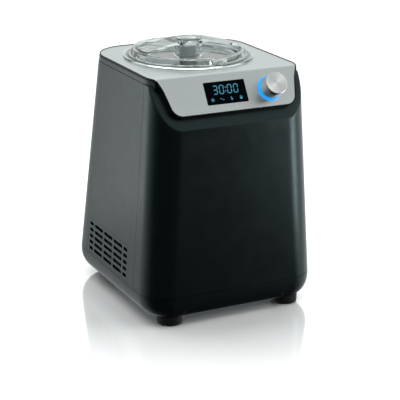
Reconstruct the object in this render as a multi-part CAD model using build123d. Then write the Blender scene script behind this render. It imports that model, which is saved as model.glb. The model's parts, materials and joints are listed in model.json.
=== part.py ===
from build123d import *
import math
import os

# Compressor ice cream maker with a removable bowl, a clear lid and a slanted control panel.
# Frame: +Z up, X to the right seen from the front, -Y is the front.
# Origin: centre of the footprint at the height that the feet stand on. All sizes in millimetres.

os.makedirs("parts", exist_ok=True)

# ---- Body: a tapered box with rounded upright corners, given at the pan joint and at the top ----
JOINT_Z = 41.0
TOP_Z = 330.0
JOINT_WIDTH = 255.8
TOP_WIDTH = 220.6
JOINT_DEPTH = 280.6
FRONT_LEAN = 10.2          # how far the front wall comes in between the joint and the top
REAR_LEAN = 32.7           # the same for the back wall
FRONT_CORNER_R = 37.0
REAR_CORNER_R = 56.0
WALL = 2.5
GAP = 0.5                  # shadow gap between outer mouldings
SPLIT_BEHIND_FRONT = 56.0  # front shell's edge behind the front wall, at the joint

# ---- Cap: flat top with the slanted control panel in front of it ----
CREASE_BEHIND_FRONT = 26.5  # crease behind the top of the front wall
PANEL_SLOPE = 58.0          # degrees from level
PANEL_LENGTH = 53.5         # down the slope, from crease to lower edge
PANEL_SHOULDER = 14.4       # distance down the slope where the panel's side bends
CREASE_NARROWING = 5.7      # each side, from the body's top width
SHOULDER_NARROWING = 11.9
FOOT_NARROWING = 20.3
PANEL_CORNER_R = 17.0
SHOULDER_R = 40.0
FOLD_R = 10.0
CAP_DEPTH = 8.5             # from the steel down to the seam under the frame
SKIN_T = 1.0
SKIN_INSET = 1.9
CARRIER_INSET = 0.5
CARRIER_BOTTOM = 3.4
RIM_RISE = 0.6              # the carrier's rim stands this proud of the steel
RIM_DEPTH = 12.0            # how far down the raised rim is carried before it is trimmed
FRAME_TOP = 2.3
FRAME_WALL = 3.2
LEDGE_R = 3.0
FIT = 0.3                   # assembly clearance between neighbouring pieces

# ---- Base pan and feet ----
PAN_FLOOR_Z = 13.0
PAN_CURVE_Z = 37.0
PAN_SIDE_INSET = 17.0
PAN_FRONT_INSET = 6.0
PAN_REAR_INSET = 12.0
PAN_CORNER_CUT = 8.0         # how much tighter the corners are at the pan's floor
PAN_WALL = 3.0
FRONT_FEET = (88.4, -117.4)
REAR_FEET = (84.0, 92.0)
FOOT_R = 18.0
FOOT_SCREW_R = 2.0
PAN_SCREW_X = 75.25

# ---- Side grilles ----
GRILLE_TOP_Z = 95.6
GRILLE_BOTTOM_Z = 44.0
GRILLE_TOP_FRONT_Y = -62.0
GRILLE_TOP_REAR_Y = 69.0
GRILLE_SPREAD = 6.0         # how much each end moves out towards the bottom
SLOT_ROWS = 5
SLOT_PITCH = 9.1
SLOT_HEIGHT = 4.8
SLOT_FIRST_Z = 51.4
SLOT_COLUMNS = [(-60.7, -48.3), (-43.8, -15.4), (-10.9, 17.5), (22.0, 50.4), (54.9, 67.3)]

# ---- Bowl, well and lid, all on one upright axis ----
BOWL_Y = 11.5
BOWL_R = 70.0
BOWL_T = 1.5
BOWL_BOTTOM_Z = 190.0
BOWL_TOP_Z = TOP_Z - 5.0
BOWL_RIM_R = BOWL_R + 4.5
TUBE_R = 13.0
TUBE_TOP_Z = 278.0
TUBE_FIT = 0.03             # round the tube where it is pressed into the bowl
WELL_CLEARANCE = 1.0
WELL_T = 1.6
WELL_TOP_Z = TOP_Z - 6.8
WELL_FLANGE_R = BOWL_R + 10.0
COIL_R = 3.0
COIL_TURNS = 7
FOAM_R = BOWL_R + 21.5
FOAM_BOTTOM_Z = 176.5
LID_FLANGE_R = BOWL_R + 19.5
LID_FLANGE_T = 2.0
LID_RING_R = BOWL_R + 7.6
LID_RING_T = 6.5            # across the raised ring
LID_RING_TOP = 11.3         # above the top
LID_T = 2.4
LID_FLOOR_R = BOWL_R - 1.0
LID_FLOOR_RISE = 0.6
LID_SKIRT_R = BOWL_R - 3.0
LID_SKIRT_DEPTH = 9.0
COLUMN_R = 18.6
COLUMN_TOP = 25.0           # above the top
HANDLE_WIDTH = 33.0
HANDLE_T = 3.0
LOCK_BOSS_R = 9.0
LOCK_BOSS_X = 2.0

# ---- Drive ----
SHAFT_R = 5.0
SHAFT_HEX = SHAFT_R * 1.6   # across flats of the driving end
SHAFT_TOP_Z = 292.0
GEAR_MODULE = 2.0
OUTPUT_TEETH = 44
PINION_TEETH = 12
GEAR_Z = 152.0
GEAR_H = 8.0
GEAR_BACKLASH = 0.35
GEARBOX_BOTTOM_Z = 146.0
GEARBOX_TOP_Z = 171.0
GEARBOX_T = 2.5
MOTOR_R = 32.0
MOTOR_BOTTOM_Z = 84.0
MOTOR_SHAFT_R = 3.0

# ---- Refrigeration ----
COMPRESSOR_X = 48.0
COMPRESSOR_Y = 52.0
COMPRESSOR_R = 50.0
COMPRESSOR_H = 104.0
COMPRESSOR_FOOT_Z = 28.0
FAN_X = -88.0
FAN_Y = 4.0
FAN_Z = 63.0
FAN_SIZE = 84.0
FAN_T = 24.0
FAN_BLADE_R = 37.0
FAN_HUB_R = 14.0
CONDENSER_T = 16.0
CONDENSER_LENGTH = 104.0
CONDENSER_HEIGHT = 66.0
PIPE_R = 2.5
TUBE_ROW_R = 3.0
CAPILLARY_R = 1.5

# ---- Controls ----
DISPLAY_X = -9.2
DISPLAY_S = 25.9
DISPLAY_W = 60.2
DISPLAY_H = 31.0
KNOB_X = 55.0
KNOB_S = 27.5
KNOB_R = 15.1
KNOB_FACE_H = 23.0          # from the panel to the knob's face
RING_R = KNOB_R + 2.1
RING_INNER_R = KNOB_R - 3.1
RING_H = 2.6
KNOB_LIFT = 1.4             # gap under the knob, more than its press travel

# ---- Smaller values ----
AIR_SLOTS = 9
AIR_SLOT_PITCH = 9.0
AIR_SLOT_HALF = 22.0
PAN_SCREW_INSET = 2.6
PAN_SCREW_Z = 18.5
PAN_SCREW_TILT = 108.0
PAN_WELL_R = 2.9
PAN_SCREW_R = 1.5
ENCODER_SHAFT_R = 3.0
ENCODER_DEPTH = 6.5
PADDLE_T = 4.0
PADDLE_TURN = 38.0
PADDLE_TOP_Z = TOP_Z - 6.0
PADDLE_TOP_R = BOWL_R - 8.0
PADDLE_POST_R = COLUMN_R - 6.6  # grip post that stands up inside the lid's column
PADDLE_POST_TOP_Z = TOP_Z + 17.0
BOND = 0.05                 # cement line between welded clear pieces
HANDLE_END_GAP = 0.5        # the bridge's ends stay clear of the ring's sloping inner face
BUSH_R = SHAFT_R + 4.0
GEARBOX_SPLIT_Z = 163.0
GEARBOX_SCREW_TURNS = (-10, 35, 90, 145, 190)
COMPRESSOR_BOLT_X = 38.0
COMPRESSOR_BOLT_Y = 50.0
COMPRESSOR_BOLT_R = 1.95
CONDENSER_FINS = 22
CONDENSER_ROWS = 4
CONDENSER_LIFT = 8.0        # condenser's middle above the fan's axis
CONDENSER_TO_FAN = 1.5
FIN_T = 0.8
FAN_BLADES = 7
FAN_PIN_R = 1.5
DRIER_X = -66.0
DRIER_Y = 82.0
DRIER_BOTTOM_Z = 60.0
DRIER_R = 9.0
DRIER_NECK_R = 3.0
DRIER_LENGTH = 64.0
SUCTION_X = 84.0
SUCTION_Y = 84.0
SUCTION_Z = 250.0
CAPILLARY_Z = 240.0
CROWN_PORT = 20.0           # each way from the compressor's axis to its two ports
PIPE_RISE = 5.0             # pipes' height over the compressor's crown
DISCHARGE_BEND = 73.0       # y where the discharge pipe turns down to the condenser
FRONT_POSTS = (108.0, -95.0)
REAR_POSTS = (106.0, 88.0)
DECK_Z = 174.0
DECK_T = 2.0
BOARD_X = 16.0
BOARD_W = 118.0
BOARD_H = 38.0
BOARD_DEPTH = 14.2
BOARD_BOSS_X = 45.0
BOARD_BOSS_Z = (102.0, 152.0)
BOARD_T = 1.6
POWER_BOARD_Y = -122.0
POWER_BOARD_HALF = 52.0
POWER_BOARD_Z = (96.0, 158.0)
POWER_PARTS = [(-40, -14, 18, 108, 132), (0, 18, 14, 104, 124), (26, 46, 12, 112, 150)]
GLAND_X = -50.0
GLAND_Z = 60.0
GLAND_R = 9.0
GLAND_NECK_R = 6.5
GLAND_BORE_R = 3.7
BOTTOM = (Align.CENTER, Align.CENTER, Align.MIN)
TOP = (Align.CENTER, Align.CENTER, Align.MAX)

# ---- Values worked out from the ones above ----
JOINT_FRONT_Y = -JOINT_DEPTH / 2
JOINT_REAR_Y = JOINT_DEPTH / 2
TOP_FRONT_Y = JOINT_FRONT_Y + FRONT_LEAN
TOP_REAR_Y = JOINT_REAR_Y - REAR_LEAN
SPLIT_Y = JOINT_FRONT_Y + SPLIT_BEHIND_FRONT
CREASE_Y = TOP_FRONT_Y + CREASE_BEHIND_FRONT
COLLAR_Z = TOP_Z - CAP_DEPTH
SLOPE = math.radians(PANEL_SLOPE)
PANEL = Plane(
    origin=(0, CREASE_Y, TOP_Z), x_dir=(1, 0, 0), z_dir=(0, -math.sin(SLOPE), math.cos(SLOPE))
)
WELL_R = BOWL_R + WELL_CLEARANCE
LID_RING_IN = LID_RING_R - LID_RING_T
FAR = 400.0                 # larger than the whole object
MOTOR_Y = BOWL_Y - GEAR_MODULE * (OUTPUT_TEETH + PINION_TEETH) / 2
KNOB_LOW = RING_H + KNOB_LIFT
PIPE_END_R = WELL_R + WELL_T + 2 * COIL_R + 0.8
GLAND_LEAN = math.degrees(math.atan(REAR_LEAN / (TOP_Z - JOINT_Z)))
GLAND_Y = JOINT_REAR_Y - (GLAND_Z - JOINT_Z) / (TOP_Z - JOINT_Z) * REAR_LEAN


# ---- Shared shapes ----
def arc(cx, cy, r, start, stop, z):
    """Horizontal arc about (cx, cy) between two angles in degrees."""
    points = [math.radians(a) for a in (start, (start + stop) / 2, stop)]
    return ThreePointArc(*[(cx + r * math.cos(a), cy + r * math.sin(a), z) for a in points])


def rounded_outline(half, front, rear, r_front, r_rear, z):
    """Horizontal face: a rectangle with one radius at both front corners and one at both rear."""
    edges = [
        Line((-half + r_front, front, z), (half - r_front, front, z)),
        arc(half - r_front, front + r_front, r_front, -90, 0, z),
        Line((half, front + r_front, z), (half, rear - r_rear, z)),
        arc(half - r_rear, rear - r_rear, r_rear, 0, 90, z),
        Line((half - r_rear, rear, z), (-half + r_rear, rear, z)),
        arc(-half + r_rear, rear - r_rear, r_rear, 90, 180, z),
        Line((-half, rear - r_rear, z), (-half, front + r_front, z)),
        arc(-half + r_front, front + r_front, r_front, 180, 270, z),
    ]
    return Face(Wire(edges))


def body_section(z, inset=0.0):
    """Outline of the tapered body at height z, moved inwards by inset."""
    share = (z - JOINT_Z) / (TOP_Z - JOINT_Z)
    half = (JOINT_WIDTH + share * (TOP_WIDTH - JOINT_WIDTH)) / 2
    front = JOINT_FRONT_Y + share * FRONT_LEAN
    rear = JOINT_REAR_Y - share * REAR_LEAN
    return rounded_outline(
        half - inset, front + inset, rear - inset, FRONT_CORNER_R - inset, REAR_CORNER_R - inset, z
    )


def body_solid(z0, z1, inset=0.0):
    """Solid of the tapered body between two heights, moved inwards by inset."""
    rims = [body_section(z, inset).outer_wire() for z in (z0, z1)]
    return Solid.make_loft(rims, True)


def block(x0, x1, y0, y1, z0, z1):
    """Box between two corners."""
    return Pos((x0 + x1) / 2, (y0 + y1) / 2, (z0 + z1) / 2) * Box(x1 - x0, y1 - y0, z1 - z0)


def disc(r, z0, z1, x=0.0, y=0.0):
    """Upright cylinder between two heights."""
    return Pos(x, y, (z0 + z1) / 2) * Cylinder(r, z1 - z0)


def ring(r_out, r_in, z0, z1, x=0.0, y=0.0):
    """Upright tube between two heights."""
    return disc(r_out, z0, z1, x, y) - disc(r_in, z0 - 1, z1 + 1, x, y)


def on_panel(x, s, depth, shape):
    """Places a shape made on XY at panel point (x, s), sunk under the panel's face by depth."""
    return PANEL * Pos(x, -s, -depth) * shape


def below_panel(depth):
    """Everything under the plane that lies parallel to the panel at this depth."""
    return PANEL * Pos(0, 0, -depth - FAR / 2) * Box(3 * FAR, 3 * FAR, FAR)


def below_top(depth):
    """Everything lower than this depth under the top."""
    return block(-FAR, FAR, -FAR, FAR, TOP_Z - depth - FAR, TOP_Z - depth)


def top_face(inset):
    """Plan of the cap, from the rear edge to just past the crease."""
    half = TOP_WIDTH / 2 - inset
    crease_half = half - CREASE_NARROWING
    rear = TOP_REAR_Y - inset
    bend_y = CREASE_Y + PANEL_SHOULDER
    outline = Polyline(
        (-crease_half, CREASE_Y), (crease_half, CREASE_Y), (half, bend_y), (half, rear),
        (-half, rear), (-half, bend_y), close=True,
    )
    face = make_face(outline)
    rear_corners = face.vertices().sort_by(Axis.Y)[-2:]
    face = fillet(rear_corners, REAR_CORNER_R - inset)
    bends = [v for v in face.vertices() if abs(v.Y - bend_y) < 0.01]
    return fillet(bends, SHOULDER_R)


def panel_face(inset, above=12.0):
    """Outline of the control panel on its own plane, running on past the crease by above."""
    half = TOP_WIDTH / 2 - inset
    crease_half = half - CREASE_NARROWING
    shoulder_half = half - SHOULDER_NARROWING
    foot_half = half - FOOT_NARROWING
    foot = -PANEL_LENGTH + inset
    outline = Polyline(
        (crease_half, above), (crease_half, 0), (shoulder_half, -PANEL_SHOULDER),
        (foot_half, foot), (-foot_half, foot), (-shoulder_half, -PANEL_SHOULDER),
        (-crease_half, 0), (-crease_half, above), close=True,
    )
    face = make_face(outline)
    corners = [v for v in face.vertices() if abs(v.Y - foot) < 0.01]
    face = fillet(corners, PANEL_CORNER_R - inset)
    shoulders = [v for v in face.vertices() if abs(v.Y + PANEL_SHOULDER) < 0.01]
    return fillet(shoulders, SHOULDER_R)


def cap_solid(depth, inset, floor=30.0):
    """The cap from this depth under its face down to floor, with its fold rounded."""
    top = extrude(Pos(0, 0, TOP_Z - floor) * top_face(inset), floor - depth)
    slant = PANEL * extrude(Pos(0, 0, -floor) * panel_face(inset), floor - depth)
    cap = (top & below_panel(depth)) + (slant & below_top(depth))
    fold_y = CREASE_Y + depth * math.tan(SLOPE / 2)
    fold = [
        e for e in cap.edges().filter_by(Axis.X)
        if abs(e.center().Z - TOP_Z + depth) < 0.05 and abs(e.center().Y - fold_y) < 0.05
    ]
    return fillet(fold, FOLD_R - depth)


def turned(profile_points, x=0.0, y=0.0):
    """Solid of revolution about an upright axis from (radius, height) points."""
    face = make_face(Polyline(*[(r, 0, z) for r, z in profile_points], close=True))
    return Pos(x, y, 0) * revolve(face, Axis.Z)


def group(shapes):
    """Separate solids held together as one sub-part."""
    return Compound(children=[solid for shape in shapes for solid in shape.solids()])


def save(name, shape):
    """Writes one sub-part's solids as a STEP file."""
    export_step(Compound(children=list(shape.solids())), f"parts/{name}.step")


# ---- Outer shells ----
def front_shell():
    """Front moulding: the front wall with both rounded corners and a ledge under the panel."""
    ledge = CAP_DEPTH + GAP
    outer = body_solid(JOINT_Z + GAP, TOP_Z) & below_panel(ledge)
    outer &= block(-FAR, FAR, -FAR, SPLIT_Y - GAP / 2, 0, COLLAR_Z - GAP)
    rim = [e for e in outer.edges() if on_ledge(e, ledge)]
    outer = fillet(rim, LEDGE_R)
    inner = body_solid(JOINT_Z - 5, TOP_Z, WALL) & below_panel(ledge + WALL)
    inner &= block(-FAR, FAR, -FAR, SPLIT_Y + 5, 0, COLLAR_Z - GAP - WALL)
    hatch = cap_solid(0, FRAME_WALL + FIT, floor=60.0)
    shell = outer - inner - hatch
    for x in (-BOARD_BOSS_X, BOARD_BOSS_X):
        for z in BOARD_BOSS_Z:
            reach = POWER_BOARD_Y - JOINT_FRONT_Y
            boss = Rot(90, 0, 0) * Pos(0, 0, reach / 2) * Cylinder(3.5, reach)
            shell += (Pos(x, POWER_BOARD_Y - 0.1, z) * boss) & body_solid(JOINT_Z, TOP_Z, 0.5)
    return shell


def on_ledge(edge, depth):
    """True for the ledge's outer edges: on the ledge plane and on the body's outside."""
    normal = PANEL.z_dir
    origin = Vector(0, CREASE_Y, TOP_Z)
    samples = [edge @ t for t in (0, 0.5, 1)]
    flat = all(abs((p - origin).dot(normal) + depth) < 0.02 for p in samples)
    outside = all(p.Z < COLLAR_Z - GAP - 0.02 or abs(p.X) > 0.1 for p in samples)
    level = all(abs(p.Z - (COLLAR_Z - GAP)) < 0.02 for p in samples)
    return flat and outside and not level


def rear_shell():
    """Wrap-round moulding: both sides and the back, with a window behind each grille."""
    outer = body_solid(JOINT_Z + GAP, COLLAR_Z - GAP)
    inner = body_solid(JOINT_Z - 5, TOP_Z, WALL)
    keep = block(-FAR, FAR, SPLIT_Y + GAP / 2, FAR, 0, TOP_Z)
    wall = (outer - inner) & keep
    for side in (-1, 1):
        wall -= grille_prism(side, 0.0)
    return wall - gland_place() * Cylinder(GLAND_NECK_R + 0.1, 40)


def grille_prism(side, grow):
    """Sideways prism of the grille's outline, grown by grow, through one side wall."""
    spread = GRILLE_SPREAD
    corners = [
        (GRILLE_TOP_FRONT_Y - grow, GRILLE_TOP_Z + grow),
        (GRILLE_TOP_REAR_Y + grow, GRILLE_TOP_Z + grow),
        (GRILLE_TOP_REAR_Y + spread + grow, GRILLE_BOTTOM_Z - grow),
        (GRILLE_TOP_FRONT_Y - spread - grow, GRILLE_BOTTOM_Z - grow),
    ]
    face = make_face(Polyline(*[(side * TOP_WIDTH / 3, y, z) for y, z in corners], close=True))
    return extrude(face, amount=side * FAR / 2, dir=(1, 0, 0))


def vent_grille(side):
    """Grille insert, flush with the side wall, with a flange behind the wall."""
    plate = (body_solid(JOINT_Z, TOP_Z) - body_solid(JOINT_Z - 1, TOP_Z + 1, WALL))
    plate &= grille_prism(side, -FIT)
    back = body_solid(JOINT_Z, TOP_Z, WALL + 0.2) - body_solid(JOINT_Z - 1, TOP_Z + 1, WALL + 1.7)
    back &= grille_prism(side, 2.0)
    bridge = body_solid(JOINT_Z, TOP_Z, WALL - 0.5) - body_solid(JOINT_Z - 1, TOP_Z + 1, WALL + 1.0)
    bridge &= grille_prism(side, -FIT)
    grille = plate + bridge + back
    for y0, y1 in SLOT_COLUMNS:
        for row in range(SLOT_ROWS):
            z = SLOT_FIRST_Z + row * SLOT_PITCH
            slot = Rot(0, 90, 0) * RectangleRounded(SLOT_HEIGHT, y1 - y0, SLOT_HEIGHT * 0.4)
            grille -= extrude(Pos(0, (y0 + y1) / 2, z) * slot, amount=side * FAR / 2, dir=(1, 0, 0))
    return grille


def pan_section(angle, wall=0.0):
    """Pan outline where its rounded-under wall has turned by angle degrees."""
    turn = math.radians(angle)
    draw = 1 - math.cos(turn)
    drop = (PAN_CURVE_Z - PAN_FLOOR_Z - wall) * math.sin(turn)
    half = JOINT_WIDTH / 2 - PAN_SIDE_INSET * draw - wall
    front = JOINT_FRONT_Y + PAN_FRONT_INSET * draw + wall
    rear = JOINT_REAR_Y - PAN_REAR_INSET * draw - wall
    r_front = FRONT_CORNER_R - PAN_CORNER_CUT * draw - wall
    r_rear = REAR_CORNER_R - PAN_CORNER_CUT * draw - wall
    return rounded_outline(half, front, rear, r_front, r_rear, PAN_CURVE_Z - drop)


def pan_solid(wall=0.0):
    """Solid pan, or the hollow inside it when wall is its thickness."""
    turns = (0, 20, 38, 54, 68, 80, 90)
    under = Solid.make_loft([pan_section(a, wall).outer_wire() for a in turns], False)
    upper = Solid.extrude(pan_section(0, wall), Vector(0, 0, JOINT_Z - PAN_CURVE_Z + wall))
    return under + upper


def base_pan():
    """Tray that carries everything, with foot seats, air slots and two screw wells in front."""
    inside = pan_solid(PAN_WALL)
    pan = pan_solid() - inside
    low = PAN_FLOOR_Z + 1
    bosses = [ring(6.0, COMPRESSOR_BOLT_R + 0.05, low, 20.0, x, y) for x, y in compressor_bolt_places()]
    bosses += [disc(5.0, low, PAN_FLOOR_Z + PAN_WALL + 4, x, y) for x, y in foot_places()]
    for place in pan_screw_axes():
        boss = Pos(0, 0, -9.0) * Cylinder(5.0, 14.0)
        bosses.append((place * boss) & inside)
    for boss in bosses:
        pan += boss
    for x, y in foot_places():
        pan -= disc(FOOT_SCREW_R + 0.05, 0, PAN_FLOOR_Z + PAN_WALL + 6, x, y)
    for i in range(AIR_SLOTS):
        x = (i - (AIR_SLOTS - 1) / 2) * AIR_SLOT_PITCH
        pan -= block(x - 2, x + 2, -AIR_SLOT_HALF, AIR_SLOT_HALF, 0, 20)
    for place in pan_screw_axes():
        pan -= place * Pos(0, 0, 6.0) * Cylinder(PAN_WELL_R, 16.0)
        pan -= place * Pos(0, 0, -8.0) * Cylinder(PAN_SCREW_R + 0.05, 14.0)
    return pan


def foot_places():
    """Centres of the four feet: front left, front right, rear left, rear right."""
    return [(side * x, y) for x, y in (FRONT_FEET, REAR_FEET) for side in (-1, 1)]


def pan_screw_axes():
    """Places of the two screws in the pan's front edge, with Z pointing out and down."""
    y = JOINT_FRONT_Y + PAN_SCREW_INSET
    return [Location((x, y, PAN_SCREW_Z), (PAN_SCREW_TILT, 0, 0)) for x in (-PAN_SCREW_X, PAN_SCREW_X)]


def pan_screws():
    """Two screws at the bottom of the front wells, with a socket in each head."""
    made = []
    for place in pan_screw_axes():
        head = Pos(0, 0, -0.9) * Cylinder(PAN_WELL_R - 0.3, 1.8) - Pos(0, 0, 0) * Cylinder(1.0, 2.0)
        shank = Pos(0, 0, -7.5) * Cylinder(PAN_SCREW_R, 12.0)
        made.append(place * (head + shank))
    return group(made)


def feet():
    """Four rubber feet, each with a rounded lower edge and a recess for its screw."""
    made = []
    for x, y in foot_places():
        pad = disc(FOOT_R, 0, PAN_FLOOR_Z - 0.05, x, y)
        pad = fillet(pad.edges().sort_by(Axis.Z)[0], 2.5)
        made.append(pad - disc(5.0, -1, 5.0, x, y) - disc(FOOT_SCREW_R + 0.1, 0, 20, x, y))
    return group(made)


def foot_screws():
    """Four screws, one up through each foot into the pan."""
    top = PAN_FLOOR_Z + PAN_WALL + 3.5
    made = []
    for x, y in foot_places():
        made.append(disc(4.0, 2.6, 4.95, x, y) + disc(FOOT_SCREW_R, 4.9, top, x, y))
    return group(made)


# ---- Cap ----
def top_frame():
    """Dark collar under the cover's edge, all the way round."""
    band = cap_solid(FRAME_TOP, 0.0) - cap_solid(CAP_DEPTH, -2.0, floor=60.0)
    return band - cap_solid(0, FRAME_WALL, floor=60.0)


def raised(height):
    """Move that lifts the top and the panel by the same height, each along its own normal."""
    return Pos(0, -height * math.tan(SLOPE / 2), height)


def steel_pocket():
    """Room for the steel skin in its carrier, open upwards and outwards."""
    inset = SKIN_INSET - BOND
    room = cap_solid(0, inset)
    room += raised(2 * RIM_RISE) * room
    room += extrude(Pos(0, 0, TOP_Z - SKIN_T) * top_face(inset), 5) & below_panel(-2 * RIM_RISE)
    room += (PANEL * extrude(Pos(0, 0, -SKIN_T) * panel_face(inset), 5)) & below_top(-2 * RIM_RISE)
    return room - cap_solid(SKIN_T + BOND, -2.0, floor=60.0)


def cover_carrier():
    """Black plastic carrier that the steel skin is bonded to; its rim stands up round the steel."""
    rim = cap_solid(0, CARRIER_INSET)
    rim += raised(RIM_RISE) * cap_solid(0, CARRIER_INSET, floor=RIM_DEPTH)
    plate = rim - steel_pocket() - cap_solid(CARRIER_BOTTOM, -2.0, floor=60.0)
    frame_zone = cap_solid(FRAME_TOP - 0.1, -4.0, floor=60.0)
    plate -= frame_zone - cap_solid(0, FRAME_WALL + FIT, floor=60.0)
    plate -= disc(BOWL_RIM_R + 1.5, TOP_Z - 30, TOP_Z + 10, 0, BOWL_Y)
    plate -= on_panel(DISPLAY_X, DISPLAY_S, 0, Box(DISPLAY_W - 4, DISPLAY_H - 4, 20))
    plate -= on_panel(KNOB_X, KNOB_S, 0, Cylinder(RING_INNER_R + 2.0, 20))
    for x in (-BOARD_W / 2 + 4, BOARD_W / 2 - 4):
        for s in (-BOARD_H / 2 + 4, BOARD_H / 2 - 4):
            low = BOARD_DEPTH - 0.1
            post = Pos(0, 0, -low) * Cylinder(2.5, low - CARRIER_BOTTOM + 0.5, align=BOTTOM)
            plate += on_panel(BOARD_X + x, DISPLAY_S + s, 0, post)
    return plate


def top_cover():
    """Brushed steel skin, folded at the crease, with openings for bowl, display and knob."""
    skin = cap_solid(0, SKIN_INSET) - cap_solid(SKIN_T, -2.0, floor=60.0)
    skin -= disc(BOWL_RIM_R + 0.8, TOP_Z - 30, TOP_Z + 10, 0, BOWL_Y)
    window = extrude(RectangleRounded(DISPLAY_W, DISPLAY_H, 1.6), 10, both=True)
    skin -= on_panel(DISPLAY_X, DISPLAY_S, 0, window)
    return skin - on_panel(KNOB_X, KNOB_S, 0, Cylinder(RING_INNER_R + 2.0, 20))


# ---- Controls ----
def display_window():
    """Black lens in the steel's opening, its edge resting on the carrier."""
    lens = extrude(RectangleRounded(DISPLAY_W - 0.3, DISPLAY_H - 0.3, 1.5), -SKIN_T)
    return on_panel(DISPLAY_X, DISPLAY_S, 0, lens)


def display_board():
    """Circuit board behind the panel, with the lit display block under the lens."""
    board = Pos(BOARD_X, -DISPLAY_S, -BOARD_DEPTH - 0.8) * Box(BOARD_W, BOARD_H, 1.6)
    glass_h = BOARD_DEPTH - 2.5
    glass = Pos(DISPLAY_X, -DISPLAY_S, -2.5 - glass_h / 2) * Box(DISPLAY_W - 6, DISPLAY_H - 6, glass_h)
    return PANEL * (board + glass)


def light_ring():
    """Clear ring round the knob that carries the blue light."""
    lower = Pos(0, 0, 0.1) * Cylinder(RING_INNER_R + 1.7, 4.1, align=TOP)
    flange = Pos(0, 0, 0.05) * Cylinder(RING_R, RING_H - 0.05, align=BOTTOM)
    flange = fillet(flange.edges().sort_by(Axis.Z)[-1], RING_H * 0.6)
    return on_panel(KNOB_X, KNOB_S, 0, lower + flange - Cylinder(RING_INNER_R, 30))


def knob_cap():
    """Turned metal cap: a flat spun face and a straight skirt with a small bevel."""
    cap = Cylinder(KNOB_R, KNOB_FACE_H - KNOB_LOW, align=BOTTOM)
    cap = chamfer(cap.edges().sort_by(Axis.Z)[-1], 0.8)
    hollow = Pos(0, 0, -0.1) * Cylinder(KNOB_R - 1.4, KNOB_FACE_H - KNOB_LOW - 1.5, align=BOTTOM)
    return on_panel(KNOB_X, KNOB_S, -KNOB_LOW, cap - hollow)


def knob_core():
    """Plastic core pressed into the cap, with the socket for the encoder's shaft."""
    top = KNOB_FACE_H - KNOB_LOW - 1.7
    core = Cylinder(KNOB_R - 1.5, top, align=BOTTOM)
    relief = Cylinder(KNOB_R - 4.0, 6.1, align=BOTTOM) - Cylinder(5.5, 6.1, align=BOTTOM)
    bore = Pos(0, 0, -0.1) * Cylinder(ENCODER_SHAFT_R + 0.05, top - 2.9, align=BOTTOM)
    return on_panel(KNOB_X, KNOB_S, -KNOB_LOW, core - Pos(0, 0, -0.1) * relief - bore)


def encoder_shaft():
    """Turning shaft of the encoder, up into the knob's core."""
    low = -ENCODER_DEPTH - 2.0
    top = KNOB_FACE_H - 1.7 - 3.4
    rod = Pos(0, 0, low) * Cylinder(ENCODER_SHAFT_R, top - low, align=BOTTOM)
    return on_panel(KNOB_X, KNOB_S, 0, rod)


def encoder_body():
    """Encoder housing on the display board, with a neck round the shaft and a chamber below."""
    height = BOARD_DEPTH - 0.1 - ENCODER_DEPTH
    case = Pos(0, 0, -ENCODER_DEPTH - height / 2) * Box(13.0, 13.0, height)
    neck = Pos(0, 0, -ENCODER_DEPTH) * Cylinder(4.4, 5.0, align=BOTTOM)
    bore = Pos(0, 0, -ENCODER_DEPTH - 3.0) * Cylinder(ENCODER_SHAFT_R + 0.05, 30, align=BOTTOM)
    chamber = Pos(0, 0, -ENCODER_DEPTH - 4.2) * Cylinder(4.6, 5.2)
    return on_panel(KNOB_X, KNOB_S, 0, case + neck - bore - chamber)


def encoder_plunger():
    """Small slide inside the encoder that the shaft pushes when the knob is pressed."""
    return on_panel(KNOB_X, KNOB_S, ENCODER_DEPTH + 2.1, Cylinder(4.2, 1.6, align=TOP))


# ---- Lid ----
def lid_shell():
    """Turned body of the lid: flange, raised channel ring, sunk floor and skirt."""
    base = TOP_Z + 0.3
    step = base + LID_FLANGE_T
    floor = TOP_Z + LID_FLOOR_RISE
    ring_top = TOP_Z + LID_RING_TOP
    return turned(
        [
            (0, floor - LID_T), (LID_SKIRT_R - LID_T, floor - LID_T),
            (LID_SKIRT_R - LID_T, base - LID_SKIRT_DEPTH), (LID_SKIRT_R, base - LID_SKIRT_DEPTH),
            (LID_SKIRT_R + 0.8, base), (LID_RING_IN + 0.5, base), (LID_RING_IN + 2.2, ring_top - 2.4),
            (LID_RING_R - 2.1, ring_top - 2.4), (LID_RING_R - 0.6, step - 0.6), (LID_RING_R + 1.0, base),
            (LID_FLANGE_R, base), (LID_FLANGE_R, step), (LID_RING_R + 6.2, step),
            (LID_RING_R + 5.2, step + 1.4), (LID_RING_R + 1.6, step + 1.4), (LID_RING_R, ring_top - 1.6),
            (LID_RING_R - 1.4, ring_top), (LID_RING_IN + 1.2, ring_top), (LID_RING_IN, ring_top - 1.2),
            (LID_FLOOR_R, floor), (0, floor),
        ],
        0, BOWL_Y,
    )


def lid():
    """Clear lid with a lock boss on its ring, a tab in front and a hole under the column."""
    step = TOP_Z + 0.3 + LID_FLANGE_T
    ring_top = TOP_Z + LID_RING_TOP
    boss = disc(LOCK_BOSS_R, step - 0.5, ring_top - 2.5, LOCK_BOSS_X, BOWL_Y - LID_RING_R + 1.0)
    boss -= disc(LID_RING_R - 1.0, step - 1, ring_top, 0, BOWL_Y)
    front = BOWL_Y - LID_FLANGE_R
    tab = block(LOCK_BOSS_X - 8, LOCK_BOSS_X + 8, front - 3.0, front + 2.0, TOP_Z + 0.3, step - 0.4)
    return lid_shell() + boss + tab - disc(COLUMN_R - LID_T, TOP_Z - 10, TOP_Z + 10, 0, BOWL_Y)


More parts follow.
